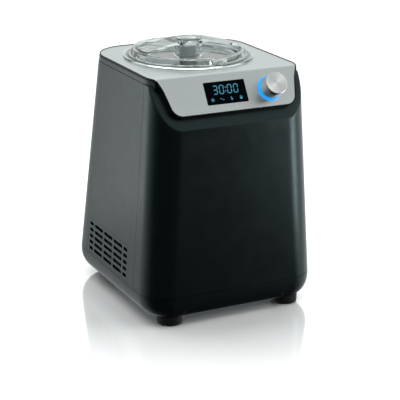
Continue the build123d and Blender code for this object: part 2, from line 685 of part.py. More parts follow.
def lid_handle():
    """Clear hollow column with a bridge handle over it, cemented to the lid's floor and ring."""
    floor = TOP_Z + LID_FLOOR_RISE + BOND
    top = TOP_Z + COLUMN_TOP
    column = disc(COLUMN_R, floor, top, 0, BOWL_Y)
    column = fillet(column.edges().sort_by(Axis.Z)[-1], 1.2)
    column += disc(COLUMN_R + 1.4, floor, floor + 1.6, 0, BOWL_Y)
    return column + handle_bridge() - disc(COLUMN_R - LID_T, floor - 10, top - LID_T, 0, BOWL_Y)


def handle_bridge():
    """Arched strip across the lid along X, between the ring's inner faces over the column."""
    reach = LID_RING_R
    low = LID_RING_TOP - HANDLE_T
    high = COLUMN_TOP - HANDLE_T - 0.4
    profile = [
        (-reach, low), (-reach, low + HANDLE_T), (-COLUMN_R * 1.5, high + HANDLE_T - 1.6),
        (-COLUMN_R * 0.8, high + HANDLE_T), (COLUMN_R * 0.8, high + HANDLE_T),
        (COLUMN_R * 1.5, high + HANDLE_T - 1.6), (reach, low + HANDLE_T), (reach, low),
        (COLUMN_R * 1.5, high - 2.4), (-COLUMN_R * 1.5, high - 2.4),
    ]
    face = make_face(Polyline(*[(x, 0, TOP_Z + z) for x, z in profile], close=True))
    strip = extrude(face, amount=HANDLE_WIDTH / 2, dir=(0, 1, 0), both=True)
    return Pos(0, BOWL_Y, 0) * strip & disc(LID_RING_IN - HANDLE_END_GAP, TOP_Z, TOP_Z + 2 * COLUMN_TOP, 0, BOWL_Y)


def lid_gasket():
    """Soft ring under the lid's flange, on the steel round the bowl opening."""
    return ring(LID_FLANGE_R - 3.0, LID_RING_R + 3.0, TOP_Z + 0.02, TOP_Z + 0.28, 0, BOWL_Y)


# ---- Bowl, well and paddle ----
def bowl():
    """Removable aluminium bowl with a rolled-out rim and a hole in its floor for the centre tube."""
    floor = BOWL_BOTTOM_Z + BOWL_T
    wall_in = BOWL_R - BOWL_T
    return turned(
        [
            (TUBE_R, BOWL_BOTTOM_Z), (BOWL_R - 6, BOWL_BOTTOM_Z), (BOWL_R, BOWL_BOTTOM_Z + 6),
            (BOWL_R, BOWL_TOP_Z - BOWL_T), (BOWL_RIM_R, BOWL_TOP_Z - BOWL_T), (BOWL_RIM_R, BOWL_TOP_Z),
            (wall_in, BOWL_TOP_Z), (wall_in, floor + 5), (wall_in - 5, floor), (TUBE_R, floor),
        ],
        0, BOWL_Y,
    )


def bowl_tube():
    """Centre tube over the drive shaft, pressed into the bowl's floor, with a flange on the floor."""
    floor = BOWL_BOTTOM_Z + BOWL_T
    tube_in = TUBE_R - BOWL_T
    outer = TUBE_R - TUBE_FIT
    flange_low = floor + BOND
    flange_top = flange_low + 1.2
    mouth = SHAFT_R + 1.2
    return turned(
        [
            (tube_in, BOWL_BOTTOM_Z), (outer, BOWL_BOTTOM_Z), (outer, flange_low),
            (TUBE_R + 4, flange_low), (TUBE_R + 4, flange_top), (outer, flange_top),
            (outer, TUBE_TOP_Z), (mouth, TUBE_TOP_Z), (mouth, TUBE_TOP_Z - BOWL_T),
            (tube_in, TUBE_TOP_Z - BOWL_T),
        ],
        0, BOWL_Y,
    )


def paddle():
    """Stirring paddle: hub over the centre tube, uprights near the wall, top wings and a grip post."""
    low = BOWL_BOTTOM_Z + BOWL_T + 3
    hub_top = SHAFT_TOP_Z + 5
    hub_r = TUBE_R + 3.6
    reach = BOWL_R - BOWL_T - 2.5
    t = PADDLE_T / 2
    blade = block(-reach, reach, -t, t, low, PADDLE_TOP_Z - 10)
    blade += block(-PADDLE_TOP_R, PADDLE_TOP_R, -t, t, PADDLE_TOP_Z - 12, PADDLE_TOP_Z)
    for side in (-1, 1):
        x0, x1 = sorted((side * (hub_r + 4), side * (reach - 11)))
        blade -= block(x0, x1, -20, 20, low + 15, PADDLE_TOP_Z - 14)
        tip = side * PADDLE_TOP_R
        wing = Polyline((side * 8, -3, 0), (tip, -11, 0), (tip, 3, 0), (side * 8, 3, 0), close=True)
        blade += extrude(Pos(0, 0, PADDLE_TOP_Z - 3) * make_face(wing), 3)
    blade = Pos(0, BOWL_Y, 0) * Rot(0, 0, PADDLE_TURN) * blade
    made = blade & disc(reach, low, PADDLE_TOP_Z, 0, BOWL_Y)
    made += disc(hub_r, low, hub_top, 0, BOWL_Y)
    post = disc(PADDLE_POST_R, hub_top - 1, PADDLE_POST_TOP_Z, 0, BOWL_Y)
    made += fillet(post.edges().sort_by(Axis.Z)[-1], 3.0)
    made -= disc(TUBE_R + 0.8, 0, TUBE_TOP_Z + 0.8, 0, BOWL_Y)
    return made - extrude(Pos(0, BOWL_Y, 0) * hex_face(SHAFT_HEX + 0.3), SHAFT_TOP_Z + 1)


def hex_face(flats):
    """Hexagon of this width across flats."""
    return RegularPolygon(flats / 2, 6, major_radius=False)


def cooling_well():
    """Aluminium cup that the bowl stands in, with a flange under its rim and a hole for the bush."""
    r_out = WELL_R + WELL_T
    low = BOWL_BOTTOM_Z - WELL_CLEARANCE - WELL_T
    return turned(
        [
            (BUSH_R, low), (r_out - 6, low), (r_out, low + 6), (r_out, WELL_TOP_Z - WELL_T),
            (WELL_FLANGE_R, WELL_TOP_Z - WELL_T), (WELL_FLANGE_R, WELL_TOP_Z), (WELL_R, WELL_TOP_Z),
            (WELL_R, low + WELL_T + 5.5), (WELL_R - 5.5, low + WELL_T), (BUSH_R, low + WELL_T),
        ],
        0, BOWL_Y,
    )


def evaporator_coil():
    """Turns of refrigerant tube bonded round the well, one ring for each turn."""
    major = WELL_R + WELL_T + COIL_R + 0.1
    low = BOWL_BOTTOM_Z + 12
    span = WELL_TOP_Z - 18 - low
    heights = [low + span * i / (COIL_TURNS - 1) for i in range(COIL_TURNS)]
    return group([Pos(0, BOWL_Y, z) * Torus(major, COIL_R) for z in heights])


def foam_jacket():
    """Insulation round the well and the coil, open at the top, with a bore for each pipe."""
    inner = WELL_R + WELL_T + 2 * COIL_R + 0.5
    well_low = BOWL_BOTTOM_Z - WELL_CLEARANCE - WELL_T
    jacket = ring(FOAM_R, inner, FOAM_BOTTOM_Z, WELL_TOP_Z - WELL_T - 0.3, 0, BOWL_Y)
    jacket += ring(inner + 1, BUSH_R + 0.3, FOAM_BOTTOM_Z, well_low - 0.2, 0, BOWL_Y)
    for end, r in ((suction_end(), PIPE_R), (capillary_end(), CAPILLARY_R)):
        turn = math.degrees(math.atan2(end.Y - BOWL_Y, end.X))
        bore = Pos(FOAM_R - 4, 0, 0) * Rot(0, 90, 0) * Cylinder(r + 0.6, 26)
        jacket -= Location((0, BOWL_Y, end.Z), (0, 0, turn)) * bore
    return jacket


# ---- Drive ----
def gear(teeth, bore, turn_deg):
    """Involute spur gear on XY at the origin, with flanks as short chords."""
    pitch_r = GEAR_MODULE * teeth / 2
    base_r = pitch_r * math.cos(math.radians(20))
    tip_r = pitch_r + GEAR_MODULE * 0.92
    root_r = pitch_r - GEAR_MODULE * 1.25
    half = math.pi / 2 / teeth - GEAR_BACKLASH / 2 / pitch_r + involute(pitch_r / base_r)
    steps = 5
    start_r = max(base_r, root_r + 0.1)
    flank = []
    for i in range(steps + 1):
        r = start_r + (tip_r - start_r) * i / steps
        flank.append((r, half - involute(r / base_r)))
    flank.insert(0, (root_r, flank[0][1]))
    points = []
    for k in range(teeth):
        middle = 2 * math.pi * k / teeth + math.radians(turn_deg)
        points += [(r * math.cos(middle - a), r * math.sin(middle - a)) for r, a in flank]
        points += [(r * math.cos(middle + a), r * math.sin(middle + a)) for r, a in reversed(flank)]
    face = make_face(Polyline(*points, close=True)) - Circle(bore)
    return extrude(face, GEAR_H)


def involute(ratio):
    """Involute function of the pressure angle whose cosine is 1 / ratio."""
    angle = math.acos(min(1.0, 1 / ratio))
    return math.tan(angle) - angle


def output_gear():
    """Large gear on the drive shaft; one tooth points at the motor."""
    return Pos(0, BOWL_Y, GEAR_Z) * gear(OUTPUT_TEETH, SHAFT_R + 0.03, -90)


def motor_pinion():
    """Motor shaft and its pinion in one piece; one gap points at the output gear."""
    pinion = Pos(0, MOTOR_Y, GEAR_Z) * gear(PINION_TEETH, MOTOR_SHAFT_R - 0.5, 90 + 180 / PINION_TEETH)
    return pinion + disc(MOTOR_SHAFT_R, MOTOR_BOTTOM_Z + 8, GEAR_Z + GEAR_H + 2, 0, MOTOR_Y)


def drive_shaft():
    """Shaft from the gearbox up through the bowl, with a hexagon at its top."""
    round_top = TUBE_TOP_Z - BOWL_T - 0.5
    rod = disc(SHAFT_R, GEARBOX_BOTTOM_Z + GEARBOX_T + 1.0, round_top, 0, BOWL_Y)
    return rod + extrude(Pos(0, BOWL_Y, round_top) * hex_face(SHAFT_HEX), SHAFT_TOP_Z - round_top)


def shaft_bush():
    """Bearing bush with a drip collar, pressed through the well's floor."""
    low = FOAM_BOTTOM_Z + 0.5
    well_floor = BOWL_BOTTOM_Z - WELL_CLEARANCE
    return ring(BUSH_R - 0.05, SHAFT_R + 0.05, low, well_floor + 12, 0, BOWL_Y)


def gearbox_plan(grow):
    """Plan of the gearbox: a large round for the gear joined to a small one for the pinion."""
    big = Pos(0, BOWL_Y) * Circle(GEAR_MODULE * OUTPUT_TEETH / 2 + 5 + grow)
    small = Pos(0, MOTOR_Y) * Circle(GEAR_MODULE * PINION_TEETH / 2 + 22 + grow)
    return big + small


def gearbox_housing():
    """Lower half of the gearbox, with the motor's face under it and a lug at each screw."""
    height = GEARBOX_SPLIT_Z - GEARBOX_BOTTOM_Z
    cup = extrude(Pos(0, 0, GEARBOX_BOTTOM_Z) * gearbox_plan(0), height)
    for x, y in gearbox_screw_places():
        cup += disc(4.5, GEARBOX_BOTTOM_Z, GEARBOX_SPLIT_Z, x, y)
    cup -= extrude(Pos(0, 0, GEARBOX_BOTTOM_Z + GEARBOX_T) * gearbox_plan(-GEARBOX_T), height)
    for x, y in gearbox_screw_places():
        cup -= disc(1.6, 0, 200, x, y)
    return cup - disc(MOTOR_SHAFT_R + 1.5, 0, GEARBOX_SPLIT_Z, 0, MOTOR_Y)


def gearbox_cover():
    """Upper half of the gearbox, with a boss that carries the shaft and spacers up to the deck."""
    low = GEARBOX_SPLIT_Z + 0.1
    height = GEARBOX_TOP_Z - low
    shell = extrude(Pos(0, 0, low) * gearbox_plan(0), height)
    for x, y in gearbox_screw_places():
        shell += disc(4.5, low, DECK_Z - 0.1, x, y)
    shell -= extrude(Pos(0, 0, low - 1) * gearbox_plan(-GEARBOX_T), height - GEARBOX_T + 1)
    shell += disc(11.0, GEAR_Z + GEAR_H + 2.5, GEARBOX_TOP_Z, 0, BOWL_Y)
    for x, y in gearbox_screw_places():
        shell -= disc(1.6, 0, 200, x, y)
    return shell - disc(SHAFT_R + 0.05, 0, 200, 0, BOWL_Y)


def gearbox_screw_places():
    """Centres of the screws round the gearbox."""
    r = GEAR_MODULE * OUTPUT_TEETH / 2 + 5 + 3.2
    turns = [math.radians(a) for a in GEARBOX_SCREW_TURNS]
    return [(r * math.cos(a), BOWL_Y + r * math.sin(a)) for a in turns]


def gearbox_screws():
    """Long screws up through both halves of the gearbox into the deck."""
    low = GEARBOX_BOTTOM_Z - 0.1
    made = []
    for x, y in gearbox_screw_places():
        made.append(disc(1.5, low - 1, DECK_Z + DECK_T, x, y) + disc(3.0, low - 2, low, x, y))
    return group(made)


def drive_motor():
    """Motor can under the gearbox, with its own bore for the shaft."""
    can = disc(MOTOR_R, MOTOR_BOTTOM_Z, GEARBOX_BOTTOM_Z - 0.1, 0, MOTOR_Y)
    can = fillet(can.edges().sort_by(Axis.Z)[0], 4)
    return can - disc(MOTOR_SHAFT_R + 0.05, MOTOR_BOTTOM_Z + 6, 200, 0, MOTOR_Y)


# ---- Refrigeration ----
def compressor_shell():
    """Welded steel pot with domed ends and a waist weld, on a flat foot plate."""
    low = COMPRESSOR_FOOT_Z + 3
    r = COMPRESSOR_R
    points = [(0, low), (r * 0.7, low), (r - 2, low + 12), (r - 2, low + 50), (r, low + 51)]
    points += [(r, low + 55), (r - 2, low + 56), (r - 2, low + 84)]
    points += [(r * 0.72, low + COMPRESSOR_H - 4), (0, low + COMPRESSOR_H)]
    inner = [(0, low + 3), (r * 0.7 - 2, low + 3), (r - 5, low + 14), (r - 5, low + 83)]
    inner += [(r * 0.72 - 3, low + COMPRESSOR_H - 8), (0, low + COMPRESSOR_H - 4)]
    pot = turned(points, COMPRESSOR_X, COMPRESSOR_Y) - turned(inner, COMPRESSOR_X, COMPRESSOR_Y)
    foot_plate = Pos(COMPRESSOR_X, COMPRESSOR_Y, COMPRESSOR_FOOT_Z + 1.5) * Box(
        2 * COMPRESSOR_BOLT_X + 18, 2 * COMPRESSOR_BOLT_Y + 18, 3
    )
    for x, y in compressor_bolt_places():
        foot_plate -= disc(6.2, 0, 60, x, y)
    return pot + foot_plate


def compressor_pump():
    """Iron pump and motor block hung inside the pot."""
    low = COMPRESSOR_FOOT_Z + 20
    block_solid = disc(33.0, low, low + 62, COMPRESSOR_X, COMPRESSOR_Y)
    return block_solid - disc(12.0, low + 20, low + 70, COMPRESSOR_X, COMPRESSOR_Y)


def compressor_bolt_places():
    """Centres of the compressor's four rubber mounts."""
    return [
        (COMPRESSOR_X + i * COMPRESSOR_BOLT_X, COMPRESSOR_Y + j * COMPRESSOR_BOLT_Y)
        for i in (-1, 1) for j in (-1, 1)
    ]


def chassis_deck():
    """Steel deck across the body: it carries the insulated well, and the gearbox hangs under it."""
    deck = Solid.extrude(body_section(DECK_Z, WALL + 1.5), Vector(0, 0, DECK_T))
    deck -= disc(14.0, 0, FAR, 0, BOWL_Y)
    for x, y in gearbox_screw_places():
        deck -= disc(1.55, 0, FAR, x, y)
    for x, y in deck_post_places():
        deck -= disc(1.6, 0, FAR, x, y)
    deck -= disc(PIPE_R + 1.0, 0, FAR, SUCTION_X, SUCTION_Y)
    return deck - disc(CAPILLARY_R + 1.0, 0, FAR, DRIER_X, DRIER_Y)


def deck_post_places():
    """Centres of the four posts under the deck."""
    return [(side * x, y) for x, y in (FRONT_POSTS, REAR_POSTS) for side in (-1, 1)]


def deck_posts():
    """Four posts from the pan up to the deck, each with a stud end through the deck."""
    low = PAN_FLOOR_Z + PAN_WALL + 1.0
    made = []
    for x, y in deck_post_places():
        made.append(disc(4.5, low, DECK_Z - 0.05, x, y) + disc(1.5, DECK_Z - 1, DECK_Z + DECK_T + 3, x, y))
    return group(made)


def compressor_mounts():
    """Four waisted rubber mounts that hold the foot plate."""
    made = []
    for x, y in compressor_bolt_places():
        body = disc(9.0, 20.1, COMPRESSOR_FOOT_Z - 0.1, x, y)
        body += disc(6.0, 25, COMPRESSOR_FOOT_Z + 3.2, x, y)
        body += disc(8.0, COMPRESSOR_FOOT_Z + 3.1, COMPRESSOR_FOOT_Z + 6, x, y)
        made.append(body - disc(2.3, 0, 60, x, y))
    return group(made)


def compressor_bolts():
    """Four bolts down through the rubber mounts into the pan's posts."""
    made = []
    for x, y in compressor_bolt_places():
        head = disc(4.5, COMPRESSOR_FOOT_Z + 6.1, 38, x, y)
        made.append(disc(COMPRESSOR_BOLT_R, PAN_FLOOR_Z + 5, 36, x, y) + head)
    return group(made)


def condenser():
    """Finned heat exchanger beside the left grille: fins on a few tube rows."""
    x0 = FAN_X - FAN_T / 2 - CONDENSER_TO_FAN - CONDENSER_T
    y0 = FAN_Y - CONDENSER_LENGTH / 2
    z0 = FAN_Z - CONDENSER_HEIGHT / 2 + CONDENSER_LIFT
    made = None
    for i in range(CONDENSER_FINS):
        y = y0 + CONDENSER_LENGTH * i / (CONDENSER_FINS - 1)
        fin = block(x0, x0 + CONDENSER_T, y - FIN_T / 2, y + FIN_T / 2, z0, z0 + CONDENSER_HEIGHT)
        made = fin if made is None else made + fin
    rod = Rot(90, 0, 0) * Cylinder(TUBE_ROW_R, CONDENSER_LENGTH + 6)
    for i in range(CONDENSER_ROWS):
        z = z0 + CONDENSER_HEIGHT * (i + 0.5) / CONDENSER_ROWS
        made += Pos(x0 + CONDENSER_T / 2, FAN_Y, z) * rod
    return made


def fan_frame():
    """Square fan frame with a round duct and three struts to the motor."""
    duct = Rot(0, 90, 0) * Cylinder(FAN_BLADE_R + 2, 60)
    frame = Pos(FAN_X, FAN_Y, FAN_Z) * (Box(FAN_T, FAN_SIZE, FAN_SIZE) - duct)
    seat = Pos(FAN_X + FAN_T / 2 - 2, FAN_Y, FAN_Z) * Rot(0, 90, 0) * Cylinder(FAN_HUB_R, 4)
    struts = None
    for a in (90, 210, 330):
        strut = Rot(a, 0, 0) * Pos(0, 0, (FAN_BLADE_R + 4) / 2) * Box(3, 4, FAN_BLADE_R + 4)
        struts = strut if struts is None else struts + strut
    struts = Pos(FAN_X + FAN_T / 2 - 2, FAN_Y, FAN_Z) * struts
    pin = Pos(FAN_X, FAN_Y, FAN_Z) * Rot(0, 90, 0) * Cylinder(FAN_PIN_R, FAN_T - 4)
    made = frame + seat + struts + pin
    low = FAN_Z - FAN_SIZE / 2
    for side in (-1, 1):
        y = FAN_Y + side * (FAN_SIZE / 2 - 10)
        made += block(FAN_X - 8, FAN_X + 8, y - 6, y + 6, PAN_FLOOR_Z + PAN_WALL + 0.05, low + 1)
        pad_x = FAN_X - FAN_T / 2
        for z in (low + 24, low + FAN_SIZE - 8):
            made += block(pad_x - CONDENSER_TO_FAN + 0.1, pad_x + 1, y - 4, y + 4, z - 4, z + 4)
    return made


def fan_rotor():
    """Bladed fan on its hub, turning on the frame's pin."""
    rotor = Cylinder(FAN_HUB_R, FAN_T - 9)
    blade = Rot(0, 35, 0) * Box(15, FAN_BLADE_R - FAN_HUB_R + 2, 1.4)
    blade = Pos(0, (FAN_HUB_R + FAN_BLADE_R) / 2 - 1, 0) * blade
    for i in range(FAN_BLADES):
        rotor += Rot(0, 0, 360 / FAN_BLADES * i) * blade
    rotor = rotor & Cylinder(FAN_BLADE_R, FAN_T - 9)
    rotor -= Cylinder(FAN_PIN_R + 0.05, 60)
    return Pos(FAN_X - 2.5, FAN_Y, FAN_Z) * Rot(0, 90, 0) * rotor


def pipe(points, radii, r=PIPE_R):
    """Round bar along straight runs joined by arcs of the given radii."""
    path = FilletPolyline(*points, radius=radii)
    start = path @ 0
    section = Plane(origin=start, z_dir=path % 0) * Circle(r)
    return sweep(section, path=path)


def discharge_pipe():
    """Pipe from the compressor's crown to the condenser's top tube."""
    top = compressor_top()
    over = top + PIPE_RISE
    bend = DISCHARGE_BEND
    x_end, y_end, z_end = condenser_end(CONDENSER_ROWS - 0.5)
    x0, y0 = COMPRESSOR_X - CROWN_PORT, COMPRESSOR_Y + CROWN_PORT
    points = [(x0, y0, top - 2), (x0, y0, over), (x0, bend + 27, over), (x_end + 24, bend + 19, over)]
    points += [(x_end, bend, over), (x_end, bend, z_end), (x_end, y_end, z_end)]
    return pipe(points, 5.0)


def liquid_pipe():
    """Pipe from the condenser's bottom tube to the filter's lower end."""
    x_end, y_end, z_end = condenser_end(0.5)
    points = [(x_end, y_end, z_end), (x_end, DISCHARGE_BEND - 2, z_end), (DRIER_X, DRIER_Y, z_end)]
    return pipe(points + [(DRIER_X, DRIER_Y, DRIER_BOTTOM_Z - 0.4)], 5.0)


def suction_end():
    """Suction pipe's end at the coil, on a radial line."""
    away = Vector(SUCTION_X, SUCTION_Y - BOWL_Y, 0).normalized()
    return Vector(0, BOWL_Y, SUCTION_Z) + away * PIPE_END_R


def suction_pipe():
    """Pipe from the coil down beside the insulation to the compressor's crown."""
    top = compressor_top()
    over = top + PIPE_RISE
    x0, y0 = COMPRESSOR_X + CROWN_PORT, COMPRESSOR_Y + CROWN_PORT
    points = [(x0, y0, top - 2), (x0, y0, over), (SUCTION_X, SUCTION_Y, over)]
    return pipe(points + [(SUCTION_X, SUCTION_Y, SUCTION_Z), tuple(suction_end())], 4.5)


def capillary_end():
    """Capillary tube's end at the coil, on a radial line."""
    away = Vector(DRIER_X, DRIER_Y - BOWL_Y, 0).normalized()
    return Vector(0, BOWL_Y, CAPILLARY_Z) + away * PIPE_END_R


def capillary_tube():
    """Thin tube from the filter's top up beside the insulation to the coil."""
    low = DRIER_BOTTOM_Z + DRIER_LENGTH + 0.4
    points = [(DRIER_X, DRIER_Y, low), (DRIER_X, DRIER_Y, CAPILLARY_Z), tuple(capillary_end())]
    return pipe(points, 5.0, CAPILLARY_R)


def compressor_top():
    """Height of the compressor's crown."""
    return COMPRESSOR_FOOT_Z + 3 + COMPRESSOR_H


def condenser_end(row):
    """End of one of the condenser's tube rows, with a small gap for the joint."""
    x = FAN_X - FAN_T / 2 - CONDENSER_TO_FAN - CONDENSER_T / 2
    y = FAN_Y + CONDENSER_LENGTH / 2 + 3.4
    z = FAN_Z - CONDENSER_HEIGHT / 2 + CONDENSER_LIFT + CONDENSER_HEIGHT * row / CONDENSER_ROWS
    return x, y, z


def filter_drier():
    """Small upright cartridge with tapered ends on the liquid line."""
    low, high = DRIER_BOTTOM_Z, DRIER_BOTTOM_Z + DRIER_LENGTH
    neck, r = DRIER_NECK_R, DRIER_R
    points = [(0, low), (neck, low), (neck, low + 6), (r, low + 12)]
    points += [(r, high - 12), (neck, high - 6), (neck, high), (0, high)]
    return turned(points, DRIER_X, DRIER_Y)


def power_board():
    """Main circuit board upright behind the front wall, with its larger parts."""
    y = POWER_BOARD_Y
    board = block(-POWER_BOARD_HALF, POWER_BOARD_HALF, y, y + BOARD_T, *POWER_BOARD_Z)
    for x0, x1, height, z0, z1 in POWER_PARTS:
        board += block(x0, x1, y + BOARD_T, y + height, z0, z1)
    return board


def gland_place():
    """Gland's place on the leaning back wall, with Z pointing inwards."""
    return Location((GLAND_X, GLAND_Y, GLAND_Z), (90 + GLAND_LEAN, 0, 0))


def cord_gland():
    """Gland in the back wall that the mains lead would leave through; the lead is left out."""
    collar = Pos(0, 0, -1.35) * Cylinder(GLAND_R, 2.6)
    collar = chamfer(collar.edges().sort_by(Axis.Z)[0], 0.8)
    neck = Pos(0, 0, 4.9) * Cylinder(GLAND_NECK_R, 10.0)
    nut = Pos(0, 0, 6.0) * extrude(hex_face(2 * GLAND_R - 1), 4.0)
    return gland_place() * (collar + neck + nut - Cylinder(GLAND_BORE_R, 60))


PARTS = {
    "base_pan": base_pan,
    "front_shell": front_shell,
    "rear_shell": rear_shell,
    "feet": feet,
    "foot_screws": foot_screws,
    "pan_screws": pan_screws,
    "top_frame": top_frame,
    "cover_carrier": cover_carrier,
    "top_cover": top_cover,
    "display_window": display_window,
    "display_board": display_board,
    "light_ring": light_ring,
    "knob_cap": knob_cap,
    "knob_core": knob_core,
    "encoder_shaft": encoder_shaft,
    "encoder_body": encoder_body,
    "encoder_plunger": encoder_plunger,
    "lid": lid,
    "lid_handle": lid_handle,
    "lid_gasket": lid_gasket,
    "bowl": bowl,
    "bowl_tube": bowl_tube,
    "paddle": paddle,
    "cooling_well": cooling_well,
    "evaporator_coil": evaporator_coil,
    "foam_jacket": foam_jacket,
    "chassis_deck": chassis_deck,
    "deck_posts": deck_posts,
    "drive_shaft": drive_shaft,
    "output_gear": output_gear,
    "motor_pinion": motor_pinion,
    "shaft_bush": shaft_bush,
    "gearbox_housing": gearbox_housing,
    "gearbox_cover": gearbox_cover,
    "gearbox_screws": gearbox_screws,
    "drive_motor": drive_motor,
    "compressor_shell": compressor_shell,
    "compressor_pump": compressor_pump,
    "compressor_mounts": compressor_mounts,
    "compressor_bolts": compressor_bolts,
    "condenser": condenser,
    "fan_frame": fan_frame,
    "fan_rotor": fan_rotor,
    "discharge_pipe": discharge_pipe,
    "liquid_pipe": liquid_pipe,
    "filter_drier": filter_drier,
    "capillary_tube": capillary_tube,
    "suction_pipe": suction_pipe,
    "power_board": power_board,
    "cord_gland": cord_gland,
}


def main():
    """Builds every sub-part and writes it out."""
    for name, build in PARTS.items():
        save(name, build())
    save("vent_grille_left", vent_grille(-1))
    save("vent_grille_right", vent_grille(1))


main()
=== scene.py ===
import sys
import json
import logging
import math
from collections.abc import Iterable, Sequence
from dataclasses import dataclass, field
from enum import Enum

import bpy
import numpy as np
from mathutils import Matrix, Vector


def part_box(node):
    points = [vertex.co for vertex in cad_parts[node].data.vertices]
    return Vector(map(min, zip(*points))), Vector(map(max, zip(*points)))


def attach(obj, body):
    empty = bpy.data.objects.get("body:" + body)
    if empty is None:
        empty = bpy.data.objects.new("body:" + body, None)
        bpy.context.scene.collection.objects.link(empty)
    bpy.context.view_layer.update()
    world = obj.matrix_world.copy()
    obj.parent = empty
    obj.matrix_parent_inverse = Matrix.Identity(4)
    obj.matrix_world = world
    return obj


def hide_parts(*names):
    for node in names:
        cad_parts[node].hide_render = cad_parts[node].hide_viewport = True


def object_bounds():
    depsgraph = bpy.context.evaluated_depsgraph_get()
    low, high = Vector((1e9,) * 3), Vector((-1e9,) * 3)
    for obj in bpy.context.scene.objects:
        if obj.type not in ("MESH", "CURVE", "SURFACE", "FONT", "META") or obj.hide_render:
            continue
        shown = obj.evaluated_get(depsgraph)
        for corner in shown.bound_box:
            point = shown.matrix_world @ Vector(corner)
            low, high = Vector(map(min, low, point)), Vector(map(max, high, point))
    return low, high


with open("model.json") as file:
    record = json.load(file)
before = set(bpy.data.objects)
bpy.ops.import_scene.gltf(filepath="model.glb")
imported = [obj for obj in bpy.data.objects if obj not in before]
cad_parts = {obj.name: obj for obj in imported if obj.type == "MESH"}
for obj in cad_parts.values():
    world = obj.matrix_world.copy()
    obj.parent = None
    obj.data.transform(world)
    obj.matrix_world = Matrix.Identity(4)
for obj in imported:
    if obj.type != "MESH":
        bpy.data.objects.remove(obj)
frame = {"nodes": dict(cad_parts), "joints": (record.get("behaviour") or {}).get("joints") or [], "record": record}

LOG = logging.getLogger("ice_cream_maker")
CAD_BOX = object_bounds()
MM = 0.001
Socket = bpy.types.NodeSocket
Colour = tuple[float, float, float]
Pairs = Sequence[tuple[float, float]]


# ---------------------------------------------------------------- shading helpers
class Shader:
    """A principled material under construction, with short calls for the nodes that vary it."""

    def __init__(self, name: str, colour: Sequence[float], rough: float, metal: float = 0.0) -> None:
        """Starts the material.

        Args:
            name: the material's name.
            colour: base colour, linear RGB.
            rough: base roughness.
            metal: metallic share.
        """
        self.material = bpy.data.materials.new(name)
        self.material.use_nodes = True
        self.tree = self.material.node_tree
        self.surface = self.tree.nodes["Principled BSDF"]
        self.set("Base Color", (*colour, 1.0))
        self.set("Roughness", rough)
        self.set("Metallic", metal)

    def set(self, socket: str, value: object) -> None:
        """Sets one of the principled shader's own sockets."""
        self.surface.inputs[socket].default_value = value

    def node(self, kind: str, links: dict[str, Socket] | None = None,
             **values: object) -> bpy.types.Node:
        """Adds a node.

        Args:
            kind: the node's type name after "ShaderNode".
            links: input socket name to the output that feeds it.
            values: input values (socket name with _ for space) or node properties.

        Returns:
            The new node.
        """
        made = self.tree.nodes.new("ShaderNode" + kind)
        for key, value in values.items():
            title = key.replace("_", " ").title()
            if title in made.inputs:
                made.inputs[title].default_value = value
            else:
                setattr(made, key, value)
        for key, output in (links or {}).items():
            target = made.inputs[int(key)] if key.isdigit() else made.inputs[key]
            self.tree.links.new(output, target)
        return made

    def link(self, output: Socket, socket: str) -> None:
        """Feeds one of the principled shader's sockets."""
        self.tree.links.new(output, self.surface.inputs[socket])

    def place(self, stretch: Sequence[float] = (1, 1, 1), centre: Sequence[float] = (0, 0, 0)) -> Socket:
        """Object coordinates, stretched about a centre.

        Args:
            stretch: scale on each axis.
            centre: point that becomes the origin, before the stretch.

        Returns:
            The vector output.
        """
        coord = self.node("TexCoord")
        moved = self.node("VectorMath", {"0": coord.outputs["Object"]}, operation="SUBTRACT")
        moved.inputs[1].default_value = centre
        mapped = self.node("Mapping", {"Vector": moved.outputs[0]})
        mapped.inputs["Scale"].default_value = stretch
        return mapped.outputs["Vector"]

    def noise(self, where: Socket, scale: float, detail: float = 3.0,
              rough: float = 0.5) -> Socket:
        """Noise value at a place.

        Args:
            where: vector to sample at.
            scale: noise scale, per metre for object coordinates.
            detail: octaves.
            rough: how strong the fine octaves are.

        Returns:
            The value output, about 0.5 on average.
        """
        made = self.node("TexNoise", {"Vector": where}, scale=scale, detail=detail, roughness=rough)
        return made.outputs["Fac"]

    def ranged(self, value: Socket, low: float, high: float,
               start: float = 0.3, end: float = 0.7) -> Socket:
        """Maps a value from start..end to low..high."""
        made = self.node("MapRange", {"Value": value})
        for key, number in (("From Min", start), ("From Max", end), ("To Min", low), ("To Max", high)):
            made.inputs[key].default_value = number
        return made.outputs["Result"]

    def blend(self, share: Socket, first: Sequence[float], second: Sequence[float]) -> Socket:
        """Colour between two colours by a share."""
        ramp = self.node("ValToRGB", {"Fac": share})
        ramp.color_ramp.elements[0].color = (*first, 1.0)
        ramp.color_ramp.elements[1].color = (*second, 1.0)
        return ramp.outputs["Color"]

    def bump(self, height: Socket, distance: float, strength: float = 1.0) -> None:
        """Adds a bump of this depth in metres to the surface."""
        made = self.node("Bump", {"Height": height}, strength=strength, distance=distance)
        self.link(made.outputs["Normal"], "Normal")


